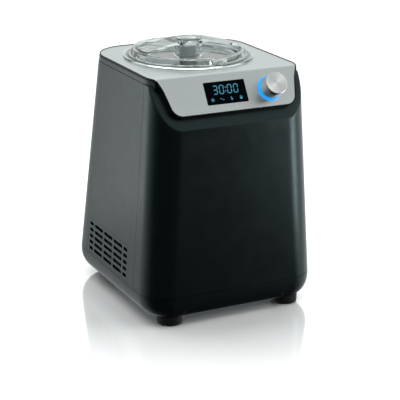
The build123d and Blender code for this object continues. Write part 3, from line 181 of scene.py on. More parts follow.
@dataclass(frozen=True)
class Finish:
    """A finish with no direction: a colour that wanders a little, uneven gloss and a fine grain."""

    name: str
    colour: tuple[float, float, float]
    rough: float
    metal: float = 0.0
    wander: float = 0.12
    grain_scale: float = 2600.0
    grain_depth: float = 0.00002
    coat: float = 0.0
    specular: float = 0.5
    tint: Colour = (1.0, 1.0, 1.0)

    def material(self) -> bpy.types.Material:
        """Builds the finish's material."""
        made = Shader(self.name, self.colour, self.rough, self.metal)
        made.set("Coat Weight", self.coat)
        made.set("Specular IOR Level", self.specular)
        made.set("Specular Tint", (*self.tint, 1.0))
        here = made.place()
        wide = made.noise(here, 18.0, 4.0)
        low = tuple(c * (1 - self.wander) for c in self.colour)
        high = tuple(min(1.0, c * (1 + self.wander)) for c in self.colour)
        made.link(made.blend(wide, low, high), "Base Color")
        smudge = made.noise(here, 55.0, 5.0, 0.6)
        made.link(made.ranged(smudge, self.rough * 0.92, self.rough * 1.08), "Roughness")
        made.bump(made.noise(here, self.grain_scale, 2.0), self.grain_depth)
        return made.material


@dataclass(frozen=True)
class BrushedFinish(Finish):
    """Metal brushed along one axis: long fine scratches in gloss, colour and height."""

    stretch: Colour = (12.0, 1600.0, 1600.0)
    anisotropy: float = 0.5

    def material(self) -> bpy.types.Material:
        """Builds the brushed material."""
        made = Shader(self.name, self.colour, self.rough, 1.0)
        made.set("Anisotropic", self.anisotropy)
        along = made.place(self.stretch)
        scratch = made.noise(along, 1.0, 5.0, 0.62)
        wide = made.noise(made.place(), 9.0, 3.0)
        low = tuple(c * (1 - self.wander) for c in self.colour)
        high = tuple(min(1.0, c * (1 + self.wander)) for c in self.colour)
        mixed = made.node("Math", {"0": scratch, "1": wide}, operation="ADD")
        made.link(made.blend(made.ranged(mixed.outputs[0], 0.0, 1.0, 0.7, 1.3), low, high), "Base Color")
        made.link(made.ranged(scratch, self.rough * 0.75, self.rough * 1.25), "Roughness")
        made.bump(scratch, self.grain_depth, 0.5)
        return made.material


@dataclass(frozen=True)
class SpunFinish(Finish):
    """Metal turned on a lathe: fine rings, and painted highlights: bright and dark wedges painted into the colour,
    fanning out from the centre.
    """

    centre: Colour = (0.0, 0.0, 0.0)
    axis: Colour = (0.0, 0.0, 1.0)
    across: Colour = (1.0, 0.0, 0.0)
    anisotropy: float = 0.8
    # Depth of the painted highlight wedges: how far the colour is dimmed between them.
    fan: float = 0.3

    def material(self) -> bpy.types.Material:
        """Builds the spun material; the turning direction is the cross product of axis and radius. The bright and
        dark wedges in the base colour are painted highlights, set by the angle round the centre.
        """
        made = Shader(self.name, self.colour, self.rough, 1.0)
        made.set("Anisotropic", self.anisotropy)
        here = made.place((1, 1, 1), self.centre)
        turning = made.node("VectorMath", {"0": here}, operation="CROSS_PRODUCT")
        turning.inputs[1].default_value = self.axis
        unit = made.node("VectorMath", {"0": turning.outputs[0]}, operation="NORMALIZE")
        made.link(unit.outputs[0], "Tangent")
        upward = Vector(self.axis).cross(Vector(self.across))
        parts = []
        for direction in (self.across, upward):
            dot = made.node("VectorMath", {"0": here}, operation="DOT_PRODUCT")
            dot.inputs[1].default_value = direction
            parts.append(dot.outputs["Value"])
        angle = made.node("Math", {"0": parts[1], "1": parts[0]}, operation="ARCTAN2").outputs[0]
        doubled = made.node("Math", {"0": angle}, operation="MULTIPLY_ADD")
        doubled.inputs[1].default_value = 2.0
        doubled.inputs[2].default_value = -0.9
        # Painted highlights: a cosine of twice the angle plus noise along the angle makes bright and dark wedges.
        painted_sector_wave = made.node("Math", {"0": doubled.outputs[0]}, operation="COSINE").outputs[0]
        radius = made.node("VectorMath", {"0": here}, operation="LENGTH").outputs["Value"]
        polar = made.node("CombineXYZ", {"X": angle})
        painted_ray_noise = made.noise(polar.outputs[0], 7.0, 4.0, 0.7)
        painted_wedge_light = made.node("Math", {"0": painted_sector_wave, "1": painted_ray_noise}, operation="ADD").outputs[0]
        # The painted highlight wedges, blended into the base colour.
        low = tuple(c * (1 - self.fan) for c in self.colour)
        made.link(made.blend(made.ranged(painted_wedge_light, 0.0, 1.0, -0.6, 1.5), low, self.colour), "Base Color")
        rings = made.node("Combine XYZ".replace(" ", ""), {"X": radius})
        fine = made.noise(rings.outputs[0], 5200.0, 2.0)
        made.link(made.ranged(fine, self.rough * 0.8, self.rough * 1.2), "Roughness")
        made.bump(fine, self.grain_depth, 0.4)
        return made.material


@dataclass(frozen=True)
class ClearFinish(Finish):
    """Clear moulded plastic with a very slight waviness."""

    ior: float = 1.49

    def material(self) -> bpy.types.Material:
        """Builds the clear material."""
        made = Shader(self.name, self.colour, self.rough)
        made.set("Transmission Weight", 1.0)
        made.set("IOR", self.ior)
        here = made.place()
        smear = made.noise(here, 40.0, 4.0)
        made.link(made.ranged(smear, self.rough * 0.5, self.rough * 1.6), "Roughness")
        made.bump(made.noise(here, 60.0, 2.0), self.grain_depth, 0.6)
        return made.material


@dataclass(frozen=True)
class GlowFinish(Finish):
    """A surface that gives off light, a little uneven, under a clear gloss."""

    glow: Colour = (0.1, 0.5, 1.0)
    strength: float = 1.0
    unevenness: float = 0.25

    def material(self) -> bpy.types.Material:
        """Builds the glowing material."""
        made = Shader(self.name, self.colour, self.rough)
        made.set("Emission Strength", self.strength)
        here = made.place()
        low = tuple(c * (1 - self.unevenness) for c in self.glow)
        made.link(made.blend(made.noise(here, 90.0, 3.0), low, self.glow), "Emission Color")
        made.link(made.ranged(made.noise(here, 300.0), self.rough * 0.8, self.rough * 1.2), "Roughness")
        return made.material


# ---------------------------------------------------------------- geometry helpers
def new_object(name: str, points: np.ndarray, faces: Sequence[Sequence[int]],
               smooth_below: float = 35.0) -> bpy.types.Object:
    """Makes an object from points in metres, with doubled points joined.

    Args:
        name: object name.
        points: array of shape (n, 3).
        faces: index tuples.
        smooth_below: edges sharper than this angle in degrees stay crisp.

    Returns:
        The object, at the origin.
    """
    kept, first = np.unique(np.round(points, 7), axis=0, return_inverse=True)
    first = np.asarray(first).reshape(-1)
    loops = []
    for face in faces:
        ring = [int(first[i]) for i in face]
        ring = [a for a, b in zip(ring, ring[1:] + ring[:1]) if a != b]
        if len(set(ring)) == len(ring) and len(ring) > 2:
            loops.append(ring)
    mesh = bpy.data.meshes.new(name)
    mesh.from_pydata(kept.tolist(), [], loops)
    mesh.validate()
    mesh.shade_smooth()
    mesh.set_sharp_from_angle(angle=math.radians(smooth_below))
    made = bpy.data.objects.new(name, mesh)
    bpy.context.scene.collection.objects.link(made)
    return made


def grid_faces(rows: int, columns: int, wrap_rows: bool,
               wrap_columns: bool) -> list[tuple[int, int, int, int]]:
    """Quads of a rows by columns grid of points, closed on itself where asked.

    Returns:
        Index tuples, with point (i, j) at i * columns + j.
    """
    last_row, last_column = rows - (not wrap_rows), columns - (not wrap_columns)
    i, j = np.meshgrid(np.arange(last_row), np.arange(last_column), indexing="ij")
    i, j = i.ravel(), j.ravel()
    up, right = (i + 1) % rows, (j + 1) % columns
    quads = np.stack([i * columns + j, i * columns + right, up * columns + right, up * columns + j], 1)
    return [tuple(q) for q in quads.tolist()]


@dataclass(frozen=True)
class Place:
    """A local frame: origin and three unit directions, all in the row frame and in metres."""

    origin: Vector
    across: Vector
    up: Vector
    out: Vector

    def points(self, local: np.ndarray) -> np.ndarray:
        """Row-frame points from local (across, up, out) millimetres: origin plus weighted directions."""
        basis = np.array([self.across, self.up, self.out])
        return np.array(self.origin) + (local * MM) @ basis


def revolve(name: str, profile: Pairs, place: Place, segments: int = 128,
            smooth_below: float = 35.0) -> bpy.types.Object:
    """Turns a profile about the place's out direction.

    A point at profile radius r and height h, at angle t, is r cos t across, r sin t up and h out.

    Args:
        name: object name.
        profile: (radius, height) pairs in millimetres, counter-clockwise when closed.
        place: local frame.
        segments: steps round the axis.
        smooth_below: crisp edge angle in degrees.

    Returns:
        The object.
    """
    outline = np.array(profile, float)
    turn = np.linspace(0.0, 2 * math.pi, segments, endpoint=False)
    r, t = np.meshgrid(outline[:, 0], turn, indexing="ij")
    h = np.repeat(outline[:, 1:2], segments, axis=1)
    local = np.stack([r * np.cos(t), r * np.sin(t), h], -1).reshape(-1, 3)
    faces = grid_faces(len(outline), segments, True, True)
    return new_object(name, place.points(local), faces, smooth_below)


def prism(outlines: Iterable[np.ndarray], low: float,
          high: float) -> tuple[np.ndarray, list[tuple[int, ...]]]:
    """Straight prisms over flat outlines.

    Each outline's points are copied at the low and the high level, closed by two caps
    and one quad for each edge.

    Args:
        outlines: arrays of (across, up) millimetres, counter-clockwise.
        low: lower level, out, in millimetres.
        high: upper level.

    Returns:
        Points of shape (n, 3) in local millimetres, and faces.
    """
    points, faces, start = [], [], 0
    for outline in outlines:
        n = len(outline)
        flat = np.asarray(outline, float)
        points.append(np.column_stack([flat, np.full(n, low)]))
        points.append(np.column_stack([flat, np.full(n, high)]))
        faces.append(tuple(start + i for i in reversed(range(n))))
        faces.append(tuple(start + n + i for i in range(n)))
        faces += [(start + i, start + (i + 1) % n, start + n + (i + 1) % n, start + n + i)
                  for i in range(n)]
        start += 2 * n
    return np.vstack(points), faces


def rounded_rectangle(width: float, height: float, radius: float, steps: int = 8) -> np.ndarray:
    """Outline of a rectangle with round corners: four quarter circles, counter-clockwise."""
    turn = np.linspace(0, math.pi / 2, steps)
    corners = [(1, -1, -math.pi / 2), (1, 1, 0.0), (-1, 1, math.pi / 2), (-1, -1, math.pi)]
    parts = []
    for sx, sy, begin in corners:
        cx, cy = sx * (width / 2 - radius), sy * (height / 2 - radius)
        angle = turn + begin
        parts.append(np.stack([cx + radius * np.cos(angle), cy + radius * np.sin(angle)], 1))
    return np.vstack(parts)


def finished(obj: bpy.types.Object, body: str, slot: str, material: bpy.types.Material,
             *nodes: str) -> bpy.types.Object:
    """Dresses a new piece and ties it to its body.

    Args:
        obj: the piece.
        body: CAD body that it moves with.
        slot: the record's material slot; not used.
        material: its finish.
        nodes: CAD nodes that it stands for.

    Returns:
        The piece.
    """
    obj.data.materials.clear()
    obj.data.materials.append(material)
    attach(obj, body)
    if nodes:
        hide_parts(*nodes)
    LOG.info("piece %s: %d faces on %s", obj.name, len(obj.data.polygons), body)
    return obj


def paint(names: Iterable[str], material: bpy.types.Material) -> None:
    """Gives CAD nodes a finish, leaving their meshes alone."""
    for name in names:
        obj = frame["nodes"][name]
        if not obj.material_slots:
            obj.data.materials.append(material)
        for place in obj.material_slots:
            place.material = material


def body_of(node: str) -> str:
    """Name of the CAD body that a node belongs to."""
    groups = frame["record"]["behaviour"]["bodies"]
    return next(body for body, nodes in groups.items() if node in nodes)


def slot_of(node: str) -> str:
    """The record's material slot of a node."""
    return next(s["material_slot"] for s in frame["record"]["subparts"] if s["node"] == node)


def smooth_copy(node: str, material: bpy.types.Material,
                smooth_below: float = 22.0) -> bpy.types.Object:
    """Stands in for a CAD node with the same surface, triangles joined and curves shaded smooth.

    Args:
        node: CAD node to copy.
        material: finish.
        smooth_below: edges sharper than this angle in degrees stay crisp.

    Returns:
        The new piece.
    """
    source = frame["nodes"][node].data
    points = np.zeros(len(source.vertices) * 3, np.float32)
    source.vertices.foreach_get("co", points)
    source.calc_loop_triangles()
    corners = np.zeros(len(source.loop_triangles) * 3, np.int32)
    source.loop_triangles.foreach_get("vertices", corners)
    points = points.reshape(-1, 3).astype(float)
    made = new_object(node + "_skin", points, corners.reshape(-1, 3).tolist(), smooth_below)
    return finished(made, body_of(node), slot_of(node), material, node)


def joint_place(name: str, across: Sequence[float] = (1, 0, 0)) -> Place:
    """Local frame on a joint: its point and axis, with this across direction."""
    joint = next(j for j in frame["joints"] if j["name"] == name)
    out = Vector(joint["axis"]).normalized()
    side = Vector(across)
    side = (side - out * side.dot(out)).normalized()
    return Place(Vector(joint["pos_m"]), side, out.cross(side), out)


# ---------------------------------------------------------------- sub-assemblies
@dataclass
class Housing:
    """The body: front and wrap-round mouldings, pan, grilles, collar, feet and steel cover."""

    satin: Finish = field(default_factory=lambda: Finish(
        "satin_black_moulding", (0.0010, 0.0020, 0.0022), 0.34, wander=0.06, grain_scale=3800.0,
        grain_depth=0.000012, tint=(0.72, 1.0, 1.03)))
    collar: Finish = field(default_factory=lambda: Finish(
        "collar_moulding", (0.0010, 0.0019, 0.0021), 0.32, wander=0.06, grain_scale=3800.0,
        grain_depth=0.000012, tint=(0.72, 1.0, 1.03)))
    rim: Finish = field(default_factory=lambda: Finish(
        "black_rim", (0.001, 0.001, 0.0012), 0.45, grain_depth=0.00001, specular=0.15))
    steel: BrushedFinish = field(default_factory=lambda: BrushedFinish(
        "brushed_steel_cover", (0.61, 0.645, 0.64), 0.34, wander=0.02, grain_depth=0.0000015,
        anisotropy=0.35))
    rubber: Finish = field(default_factory=lambda: Finish(
        "foot_rubber", (0.004, 0.005, 0.0055), 0.62, grain_depth=0.00003, specular=0.25))

    def build(self) -> None:
        """Smooths and dresses the outer mouldings."""
        satin, collar, rim = self.satin.material(), self.collar.material(), self.rim.material()
        for node in ("front_shell", "rear_shell", "base_pan"):
            smooth_copy(node, satin)
        for node in ("vent_grille_left", "vent_grille_right"):
            smooth_copy(node, satin)
        smooth_copy("top_frame", collar)
        smooth_copy("cover_carrier", rim)
        smooth_copy("top_cover", self.steel.material())
        smooth_copy("feet", self.rubber.material())
        dark = Finish("inner_black", (0.01, 0.01, 0.01), 0.5).material()
        paint(("pan_screws", "foot_screws", "cord_gland", "lid_gasket"), dark)


class Segment(Enum):
    """The seven bars of a clock digit: centre across and up, and whether the bar stands upright."""

    TOP = (0.0, 1.0, False)
    MIDDLE = (0.0, 0.0, False)
    BOTTOM = (0.0, -1.0, False)
    UPPER_LEFT = (-1.0, 0.5, True)
    UPPER_RIGHT = (1.0, 0.5, True)
    LOWER_LEFT = (-1.0, -0.5, True)
    LOWER_RIGHT = (1.0, -0.5, True)


ZERO = tuple(s for s in Segment if s is not Segment.MIDDLE)
THREE = tuple(s for s in Segment if s not in (Segment.UPPER_LEFT, Segment.LOWER_LEFT))


@dataclass
class Display:
    """The lens in the panel with its lit clock digits and four symbols; sizes in millimetres."""

    digit_width: float = 5.6
    digit_height: float = 11.2
    bar: float = 1.15
    lean: float = 0.09
    reading_x: tuple[float, ...] = (-14.6, -5.4, 6.2, 15.4)
    reading_up: float = 4.3
    symbol_x: tuple[float, ...] = (-21.2, -7.3, 6.4, 20.2)
    symbol_up: float = -8.8
    lens_height: float = 30.7
    lens: Finish = field(default_factory=lambda: Finish(
        "display_lens", (0.0008, 0.001, 0.0018), 0.10, wander=0.02, grain_depth=0.000001, specular=0.02))
    lit: GlowFinish = field(default_factory=lambda: GlowFinish(
        "display_segments", (0.02, 0.10, 0.14), 0.3, glow=(0.055, 0.34, 0.50), strength=0.6,
        unevenness=0.2))

    def place(self) -> Place:
        """Local frame at the centre of the lens, on its outer face."""
        knob = joint_place("knob_turn")
        low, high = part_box("display_window")
        return Place((low + high) / 2 + knob.out * 0.5 * MM, knob.across, knob.up, knob.out)

    def bar_outline(self, x: float, up: float, upright: bool, length: float) -> np.ndarray:
        """One bar: a long hexagon about (x, up) with pointed ends, sheared so that it leans right."""
        half, end, w = length / 2 - 0.35, length / 2 - 0.35 - self.bar / 2, self.bar / 2
        hexagon = np.array([(-half, 0), (-end, -w), (end, -w), (half, 0), (end, w), (-end, w)])
        if upright:
            hexagon = hexagon[:, ::-1] * (-1, 1)
        placed = hexagon + (x, up)
        placed[:, 0] += self.lean * (placed[:, 1] - self.reading_up)
        return placed

    def digit(self, x: float, bars: tuple[Segment, ...]) -> list[np.ndarray]:
        """Outlines of one digit's lit bars."""
        w, h = self.digit_width / 2, self.digit_height / 2
        made = []
        for bar in bars:
            cx, cy, upright = bar.value
            length = self.digit_height / 2 if upright else self.digit_width
            made.append(self.bar_outline(x + cx * w, self.reading_up + cy * h, upright, length))
        return made

    def colon(self) -> list[np.ndarray]:
        """Two dots between the pairs of digits."""
        turn = np.linspace(0, 2 * math.pi, 16, endpoint=False)
        dot = np.stack([np.cos(turn), np.sin(turn)], 1) * 0.75
        x = (self.reading_x[1] + self.reading_x[2]) / 2
        return [dot + (x + self.lean * s * 2.4, self.reading_up + s * 2.4) for s in (-1, 1)]

    def symbols(self) -> list[np.ndarray]:
        """A frost star, a stirring stroke, a spatula and a tub, each from a few plain outlines."""
        x0, x1, x2, x3 = self.symbol_x
        up = self.symbol_up
        made = []
        for a in np.radians((0, 60, 120)):
            c, s = math.cos(a), math.sin(a)
            bar = np.array([(-2.5, -0.22), (2.5, -0.22), (2.5, 0.22), (-2.5, 0.22)])
            made.append(bar @ np.array([(c, s), (-s, c)]) + (x0, up))
            for e in (-1, 1):
                for tilt in (-0.8, 0.8):
                    twig = np.array([(0, -0.18), (1.1, -0.18), (1.1, 0.18), (0, 0.18)])
                    ct, st = math.cos(a + tilt), math.sin(a + tilt)
                    spot = np.array([e * 1.3 * c, e * 1.3 * s])
                    made.append(e * (twig @ np.array([(ct, st), (-st, ct)])) + spot + (x0, up))
        t = np.linspace(-1, 1, 14)
        painted_sector_wave = np.stack([t * 2.9, -0.85 * t - 0.45 * np.sin(t * math.pi)], 1)
        made.append(np.vstack([painted_sector_wave + (0, -0.3), painted_sector_wave[::-1] + (0, 0.3)]) + (x1, up))
        blade = np.array([
            (-0.3, -2.6), (0.9, -2.0), (1.2, -0.2), (0.5, 0.4),
            (-0.4, 2.6), (-1.2, 2.2), (-0.6, 0.0), (-0.9, -1.4)])
        made.append(blade + (x2, up))
        made.append(np.array([(-1.5, -2.3), (1.5, -2.3), (1.8, 0.5), (-1.8, 0.5)]) + (x3, up))
        turn = np.linspace(0, math.pi, 10)
        outer = np.stack([1.4 * np.cos(turn), 0.75 + 1.7 * np.sin(turn)], 1)
        inner = np.stack([0.85 * np.cos(turn[::-1]), 0.75 + 1.1 * np.sin(turn[::-1])], 1)
        made.append(np.vstack([outer, inner]) + (x3, up))
        return made

    def build(self) -> None:
        """Makes the lens and the lit marks on it."""
        place = self.place()
        low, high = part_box("display_window")
        outline = rounded_rectangle((high.x - low.x) / MM, self.lens_height, 1.5)
        points, faces = prism([outline], -1.0, -0.12)
        lens = new_object("display_lens_face", place.points(points), faces)
        finished(lens, "housing", "display_lens", self.lens.material(), "display_window")
        lit = self.lit.material()
        marks = self.colon()
        for x, bars in zip(self.reading_x, (THREE, ZERO, ZERO, ZERO)):
            marks += self.digit(x, bars)
        points, faces = prism(marks, -0.13, -0.06)
        made = new_object("display_clock", place.points(points), faces)
        finished(made, "housing", "display_lens", lit)
        points, faces = prism(self.symbols(), -0.13, -0.06)
        made = new_object("display_symbols", place.points(points), faces)
        finished(made, "housing", "display_lens", lit)


@dataclass
class Knob:
    """The push-turn knob and the lit ring round its foot; sizes in millimetres."""

    radius: float = 15.05
    face: float = 22.8
    low: float = 4.0
    ring_radius: float = 17.2
    ring_height: float = 2.6
    ring_inner: float = 12.0
    ring_neck: float = 1.7
    ring_edge: float = 1.5
    edge_radius: float = 0.75
    cap_wall: float = 1.4
    face_dish: float = 0.15

    def build(self) -> None:
        """Makes the metal cap and the ring as turned surfaces about the knob's axis."""
        place = joint_place("knob_turn")
        r, top, low = self.radius, self.face, self.low
        edge = self.edge_radius
        bevel = [(r - edge + edge * math.sin(a), top - edge + edge * math.cos(a))
                 for a in np.linspace(math.pi / 2, 0.25, 6)]
        inside = r - self.cap_wall
        profile = [(0, top - 1.5), (inside, top - 1.5), (inside, low)]
        profile += [(r - 0.3, low), (r, low + 0.4), *bevel]
        dished = top - self.face_dish
        profile += [(r - 1.3, dished), (r * 0.5, dished), (0.02, dished)]
        centre = place.origin + place.out * self.face * MM
        # The cap's spun finish paints highlight wedges into its colour, 0.25 deep.
        spun = SpunFinish("spun_knob_metal", (0.93, 0.94, 0.94), 0.24, grain_depth=0.000003,
                          centre=tuple(centre), axis=tuple(place.out),
                          across=tuple(place.across), fan=0.25)
        cap = revolve("knob_metal_cap", profile, place, 160, 25.0)
        finished(cap, "knob", "knob_metal", spun.material(), "knob_cap")
        h, outer, inner = self.ring_height, self.ring_radius, self.ring_inner
        bend = self.ring_edge
        curve = [(outer - bend + bend * math.cos(a), h - bend + bend * math.sin(a))
                 for a in np.linspace(0, math.pi / 2, 8)]
        neck = inner + self.ring_neck
        ring = [(inner, -4.0), (neck, -4.0), (neck, 0.05), (outer, 0.05), *curve, (inner, h)]
        glow = GlowFinish("blue_ring_light", (0.02, 0.22, 0.55), 0.18,
                          glow=(0.004, 0.30, 0.74), strength=0.85)
        made = revolve("knob_light_ring", ring, place, 128, 30.0)
        finished(made, "housing", "ring_light", glow.material(), "light_ring")
        dark = Finish("knob_inner", (0.01, 0.01, 0.01), 0.5).material()
        paint(("knob_core", "encoder_body", "encoder_plunger"), dark)


@dataclass
class LidAndBowl:
    """The clear lid, the bowl, the paddle and the well."""

    clear: ClearFinish = field(default_factory=lambda: ClearFinish(
        "clear_lid", (0.86, 0.90, 0.89), 0.02, grain_depth=0.00001))
    bowl: Finish = field(default_factory=lambda: Finish(
        "anodised_bowl", (0.66, 0.68, 0.69), 0.34, 1.0, wander=0.05, grain_depth=0.000003))
    blade_colour: Colour = (0.03, 0.034, 0.036)
    hub_colour: Colour = (0.62, 0.65, 0.65)
    hub_radius: float = 0.019

    def paddle_material(self) -> bpy.types.Material:
        """Two-shot moulding: pale hub inside a radius of the paddle's axis, dark blades outside it."""
        made = Shader("paddle_moulding", self.blade_colour, 0.35)
        low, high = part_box("paddle")
        here = made.place((1, 1, 0), (low + high) / 2)
        radius = made.node("VectorMath", {"0": here}, operation="LENGTH").outputs["Value"]
        edge = made.ranged(radius, 0.0, 1.0, self.hub_radius - 0.0002, self.hub_radius + 0.0002)
        made.link(made.blend(edge, self.hub_colour, self.blade_colour), "Base Color")
        grain = made.noise(made.place(), 1800.0)
        made.link(made.ranged(grain, 0.32, 0.42), "Roughness")
        made.bump(grain, 0.00001)
        return made.material

    def build(self) -> None:
        """Dresses the lid and what lies under it."""
        clear, bowl = self.clear.material(), self.bowl.material()
        for node in ("lid", "lid_handle"):
            smooth_copy(node, clear)
        for node in ("bowl", "bowl_tube"):
            smooth_copy(node, bowl)
        smooth_copy("paddle", self.paddle_material())
        paint(("cooling_well", "evaporator_coil"), bowl)


@dataclass
class Machinery:
    """Everything inside the body."""

    groups: dict[str, tuple[Colour, float, float, tuple[str, ...]]] = field(default_factory=lambda: {
        "copper_tube": ((0.72, 0.38, 0.22), 0.28, 1.0, (
            "discharge_pipe", "liquid_pipe", "filter_drier", "capillary_tube", "suction_pipe")),
        "machined_steel": ((0.50, 0.51, 0.52), 0.28, 1.0, (
            "drive_shaft", "motor_pinion", "encoder_shaft", "gearbox_screws", "compressor_bolts")),
        "plated_sheet": ((0.46, 0.48, 0.48), 0.38, 1.0, ("chassis_deck", "deck_posts")),
        "fin_stock": ((0.60, 0.62, 0.63), 0.35, 1.0, ("condenser",)),
        "sintered_bronze": ((0.50, 0.33, 0.16), 0.42, 1.0, ("shaft_bush",)),
        "black_enamel": ((0.012, 0.012, 0.012), 0.30, 0.0, ("compressor_shell",)),
        "grey_enamel": ((0.12, 0.13, 0.14), 0.35, 0.0, ("drive_motor",)),
        "raw_casting": ((0.10, 0.10, 0.10), 0.60, 0.8, ("compressor_pump",)),
        "natural_nylon": ((0.72, 0.70, 0.62), 0.45, 0.0, ("output_gear",)),
        "filled_plastic": ((0.02, 0.02, 0.02), 0.50, 0.0, (
            "gearbox_housing", "gearbox_cover", "fan_frame", "fan_rotor")),
        "mount_rubber": ((0.015, 0.015, 0.015), 0.75, 0.0, ("compressor_mounts",)),
        "board_green": ((0.02, 0.12, 0.05), 0.35, 0.0, ("power_board", "display_board")),
        "cream_foam": ((0.75, 0.66, 0.42), 0.85, 0.0, ("foam_jacket",)),
    })

    def build(self) -> None:
        """Gives each inner node the finish of its group."""
        for name, (colour, rough, metal, nodes) in self.groups.items():
            paint(nodes, Finish(name, colour, rough, metal).material())
            LOG.info("finish %s on %s", name, ", ".join(nodes))


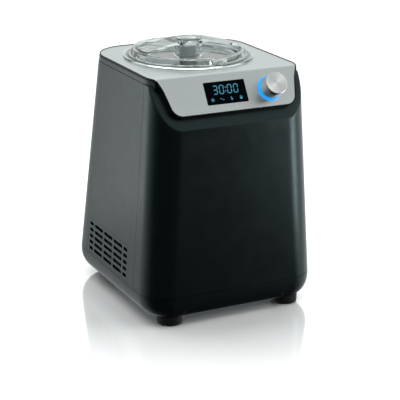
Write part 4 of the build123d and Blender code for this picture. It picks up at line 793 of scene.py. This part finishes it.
# ---------------------------------------------------------------- studio
@dataclass
class Studio:
    """Floor, lights, surroundings and camera; lengths in metres."""

    floor_half: float = 12.0
    camera_at: Colour = (-0.8279, -1.6384, 0.7366)
    azimuth: float = 27.233
    elevation: float = 18.456
    roll: float = 0.703
    lens: float = 123.13
    polish: float = 0.5
    dark_level: float = 0.015
    back_level: float = 0.72
    right_level: float = 0.9
    over_level: float = 0.62
    overhead_power: float = 150.0
    right_power: float = 1.5
    left_power: float = 0.35
    fade_from: float = 0.14
    fade_to: float = 0.48

    def floor(self) -> None:
        """A pale polished floor: a flat grid of points at the height of the feet."""
        side = np.linspace(-self.floor_half, self.floor_half, 3)
        x, y = np.meshgrid(side, side, indexing="ij")
        z = np.full(x.shape, CAD_BOX[0].z - 0.0002)
        points = np.stack([x, y, z], -1).reshape(-1, 3)
        plane = new_object("studio_floor", points, grid_faces(3, 3, False, False))
        if plane.data.polygons[0].normal.z < 0:
            plane.data.flip_normals()
        plane.visible_glossy = False
        plane.data.materials.append(self.floor_finish())

    def floor_finish(self) -> bpy.types.Material:
        """White matt floor under a polish that fades out in front of the object."""
        made = Shader("pale_floor", (0.9, 0.9, 0.9), 0.6)
        tree = made.tree
        tree.nodes.remove(made.surface)
        here = made.place()
        mottle = made.blend(made.noise(here, 4.0, 3.0), (0.885, 0.89, 0.89), (0.905, 0.905, 0.905))
        matt = made.node("BsdfDiffuse", {"Color": mottle})
        gloss = made.node("BsdfGlossy", {"Roughness": made.ranged(made.noise(here, 9.0), 0.06, 0.09)})
        gloss.inputs["Color"].default_value = (0.98, 1.0, 1.0, 1.0)
        ahead = made.node("VectorMath", {"0": here}, operation="DOT_PRODUCT")
        a = math.radians(self.azimuth)
        ahead.inputs[1].default_value = (-math.sin(a), -math.cos(a), 0.0)
        share = made.ranged(ahead.outputs["Value"], self.polish, 0.0, self.fade_from, self.fade_to)
        mixed = made.node("MixShader", {"Fac": share, "1": matt.outputs[0], "2": gloss.outputs[0]})
        tree.links.new(mixed.outputs[0], tree.nodes["Material Output"].inputs["Surface"])
        return made.material

    def light(self, name: str, at: Sequence[float], aim: Sequence[float], size: tuple[float, float],
              power: float, glossy: bool = False) -> None:
        """Adds a soft box.

        Args:
            name: light name.
            at: its centre.
            aim: point that it faces.
            size: width and height.
            power: watts.
            glossy: whether reflections show it.
        """
        data = bpy.data.lights.new(name, "AREA")
        data.shape = "RECTANGLE"
        data.size, data.size_y = size
        data.energy = power
        lamp = bpy.data.objects.new(name, data)
        lamp.location = at
        lamp.visible_glossy = glossy
        lamp.rotation_euler = (Vector(aim) - Vector(at)).to_track_quat("-Z", "Y").to_euler()
        bpy.context.scene.collection.objects.link(lamp)

    def surroundings(self) -> None:
        """White to the eye; dark in front, and bright behind, at the right and softly overhead.

        The light from a direction (x, y, z) is dark + back(y) * low(z) + right(x) + over(z),
        each a smooth step.
        """
        world = bpy.data.worlds.new("studio")
        bpy.context.scene.world = world
        world.use_nodes = True
        tree = world.node_tree
        coord = tree.nodes.new("ShaderNodeTexCoord")
        split = tree.nodes.new("ShaderNodeSeparateXYZ")
        tree.links.new(coord.outputs["Generated"], split.inputs[0])

        def step(axis: str, start: float, end: float, low: float, high: float) -> Socket:
            """Smooth step along one axis of the direction."""
            made = tree.nodes.new("ShaderNodeMapRange")
            made.interpolation_type = "SMOOTHSTEP"
            tree.links.new(split.outputs[axis], made.inputs["Value"])
            sockets = ("From Min", "From Max", "To Min", "To Max")
            for key, number in zip(sockets, (start, end, low, high)):
                made.inputs[key].default_value = number
            return made.outputs["Result"]

        def join(kind: str, first: Socket, second: Socket) -> Socket:
            """Sum or product of two values."""
            made = tree.nodes.new("ShaderNodeMath")
            made.operation = kind
            tree.links.new(first, made.inputs[0])
            tree.links.new(second, made.inputs[1])
            return made.outputs[0]

        behind = step("Y", -0.1, 0.65, 0.0, self.back_level)
        back = join("MULTIPLY", behind, step("Z", 0.35, 0.8, 1.0, 0.0))
        side = join("ADD", step("X", 0.55, 0.95, self.dark_level, self.right_level), back)
        total = join("ADD", step("Z", 0.0, 0.6, 0.0, self.over_level), side)
        around, seen = tree.nodes["Background"], tree.nodes.new("ShaderNodeBackground")
        tree.links.new(total, around.inputs["Strength"])
        around.inputs["Color"].default_value = (0.96, 1.0, 0.995, 1.0)
        seen.inputs["Color"].default_value = (1.0, 1.0, 1.0, 1.0)
        path = tree.nodes.new("ShaderNodeLightPath")
        mix = tree.nodes.new("ShaderNodeMixShader")
        tree.links.new(path.outputs["Is Camera Ray"], mix.inputs[0])
        tree.links.new(around.outputs[0], mix.inputs[1])
        tree.links.new(seen.outputs[0], mix.inputs[2])
        tree.links.new(mix.outputs[0], tree.nodes["World Output"].inputs["Surface"])

    def camera(self) -> None:
        """The camera, aimed by azimuth, elevation and roll; its axes are right, up and back."""
        a, e, r = (math.radians(v) for v in (self.azimuth, self.elevation, self.roll))
        forward = Vector((math.sin(a) * math.cos(e), math.cos(a) * math.cos(e), -math.sin(e)))
        right = Vector((math.cos(a), -math.sin(a), 0.0))
        up = right.cross(forward)
        right, up = right * math.cos(r) + up * math.sin(r), up * math.cos(r) - right * math.sin(r)
        data = bpy.data.cameras.new("studio_camera")
        data.lens = self.lens
        data.sensor_width = 36.0
        data.clip_end = 100.0
        cam = bpy.data.objects.new("studio_camera", data)
        turn = Matrix((right, up, -forward)).transposed().to_4x4()
        cam.matrix_world = Matrix.Translation(self.camera_at) @ turn
        bpy.context.scene.collection.objects.link(cam)
        bpy.context.scene.camera = cam

    def build(self) -> None:
        """Sets up the whole studio."""
        self.floor()
        self.surroundings()
        self.camera()
        self.light("overhead", (0.0, 0.6, 3.0), (0.0, 0.4, 0.0), (4.0, 4.0), self.overhead_power)
        self.light("right_front", (0.47, -0.45, 0.22), (0.10, -0.12, 0.22), (0.16, 0.45),
                   self.right_power, glossy=True)
        self.light("left_rear", (-0.40, 0.33, 0.24), (-0.115, -0.05, 0.2), (0.25, 0.5),
                   self.left_power, glossy=True)
        bpy.context.scene.view_settings.view_transform = "Standard"


def main() -> None:
    """Builds the sub-assemblies in order and reports each piece."""
    logging.basicConfig(level=logging.INFO, format="%(name)s: %(message)s", stream=sys.stdout)
    for part in (Housing(), Display(), Knob(), LidAndBowl(), Machinery(), Studio()):
        part.build()
        LOG.info("built %s", type(part).__name__)


if __name__ == "__main__":
    main()
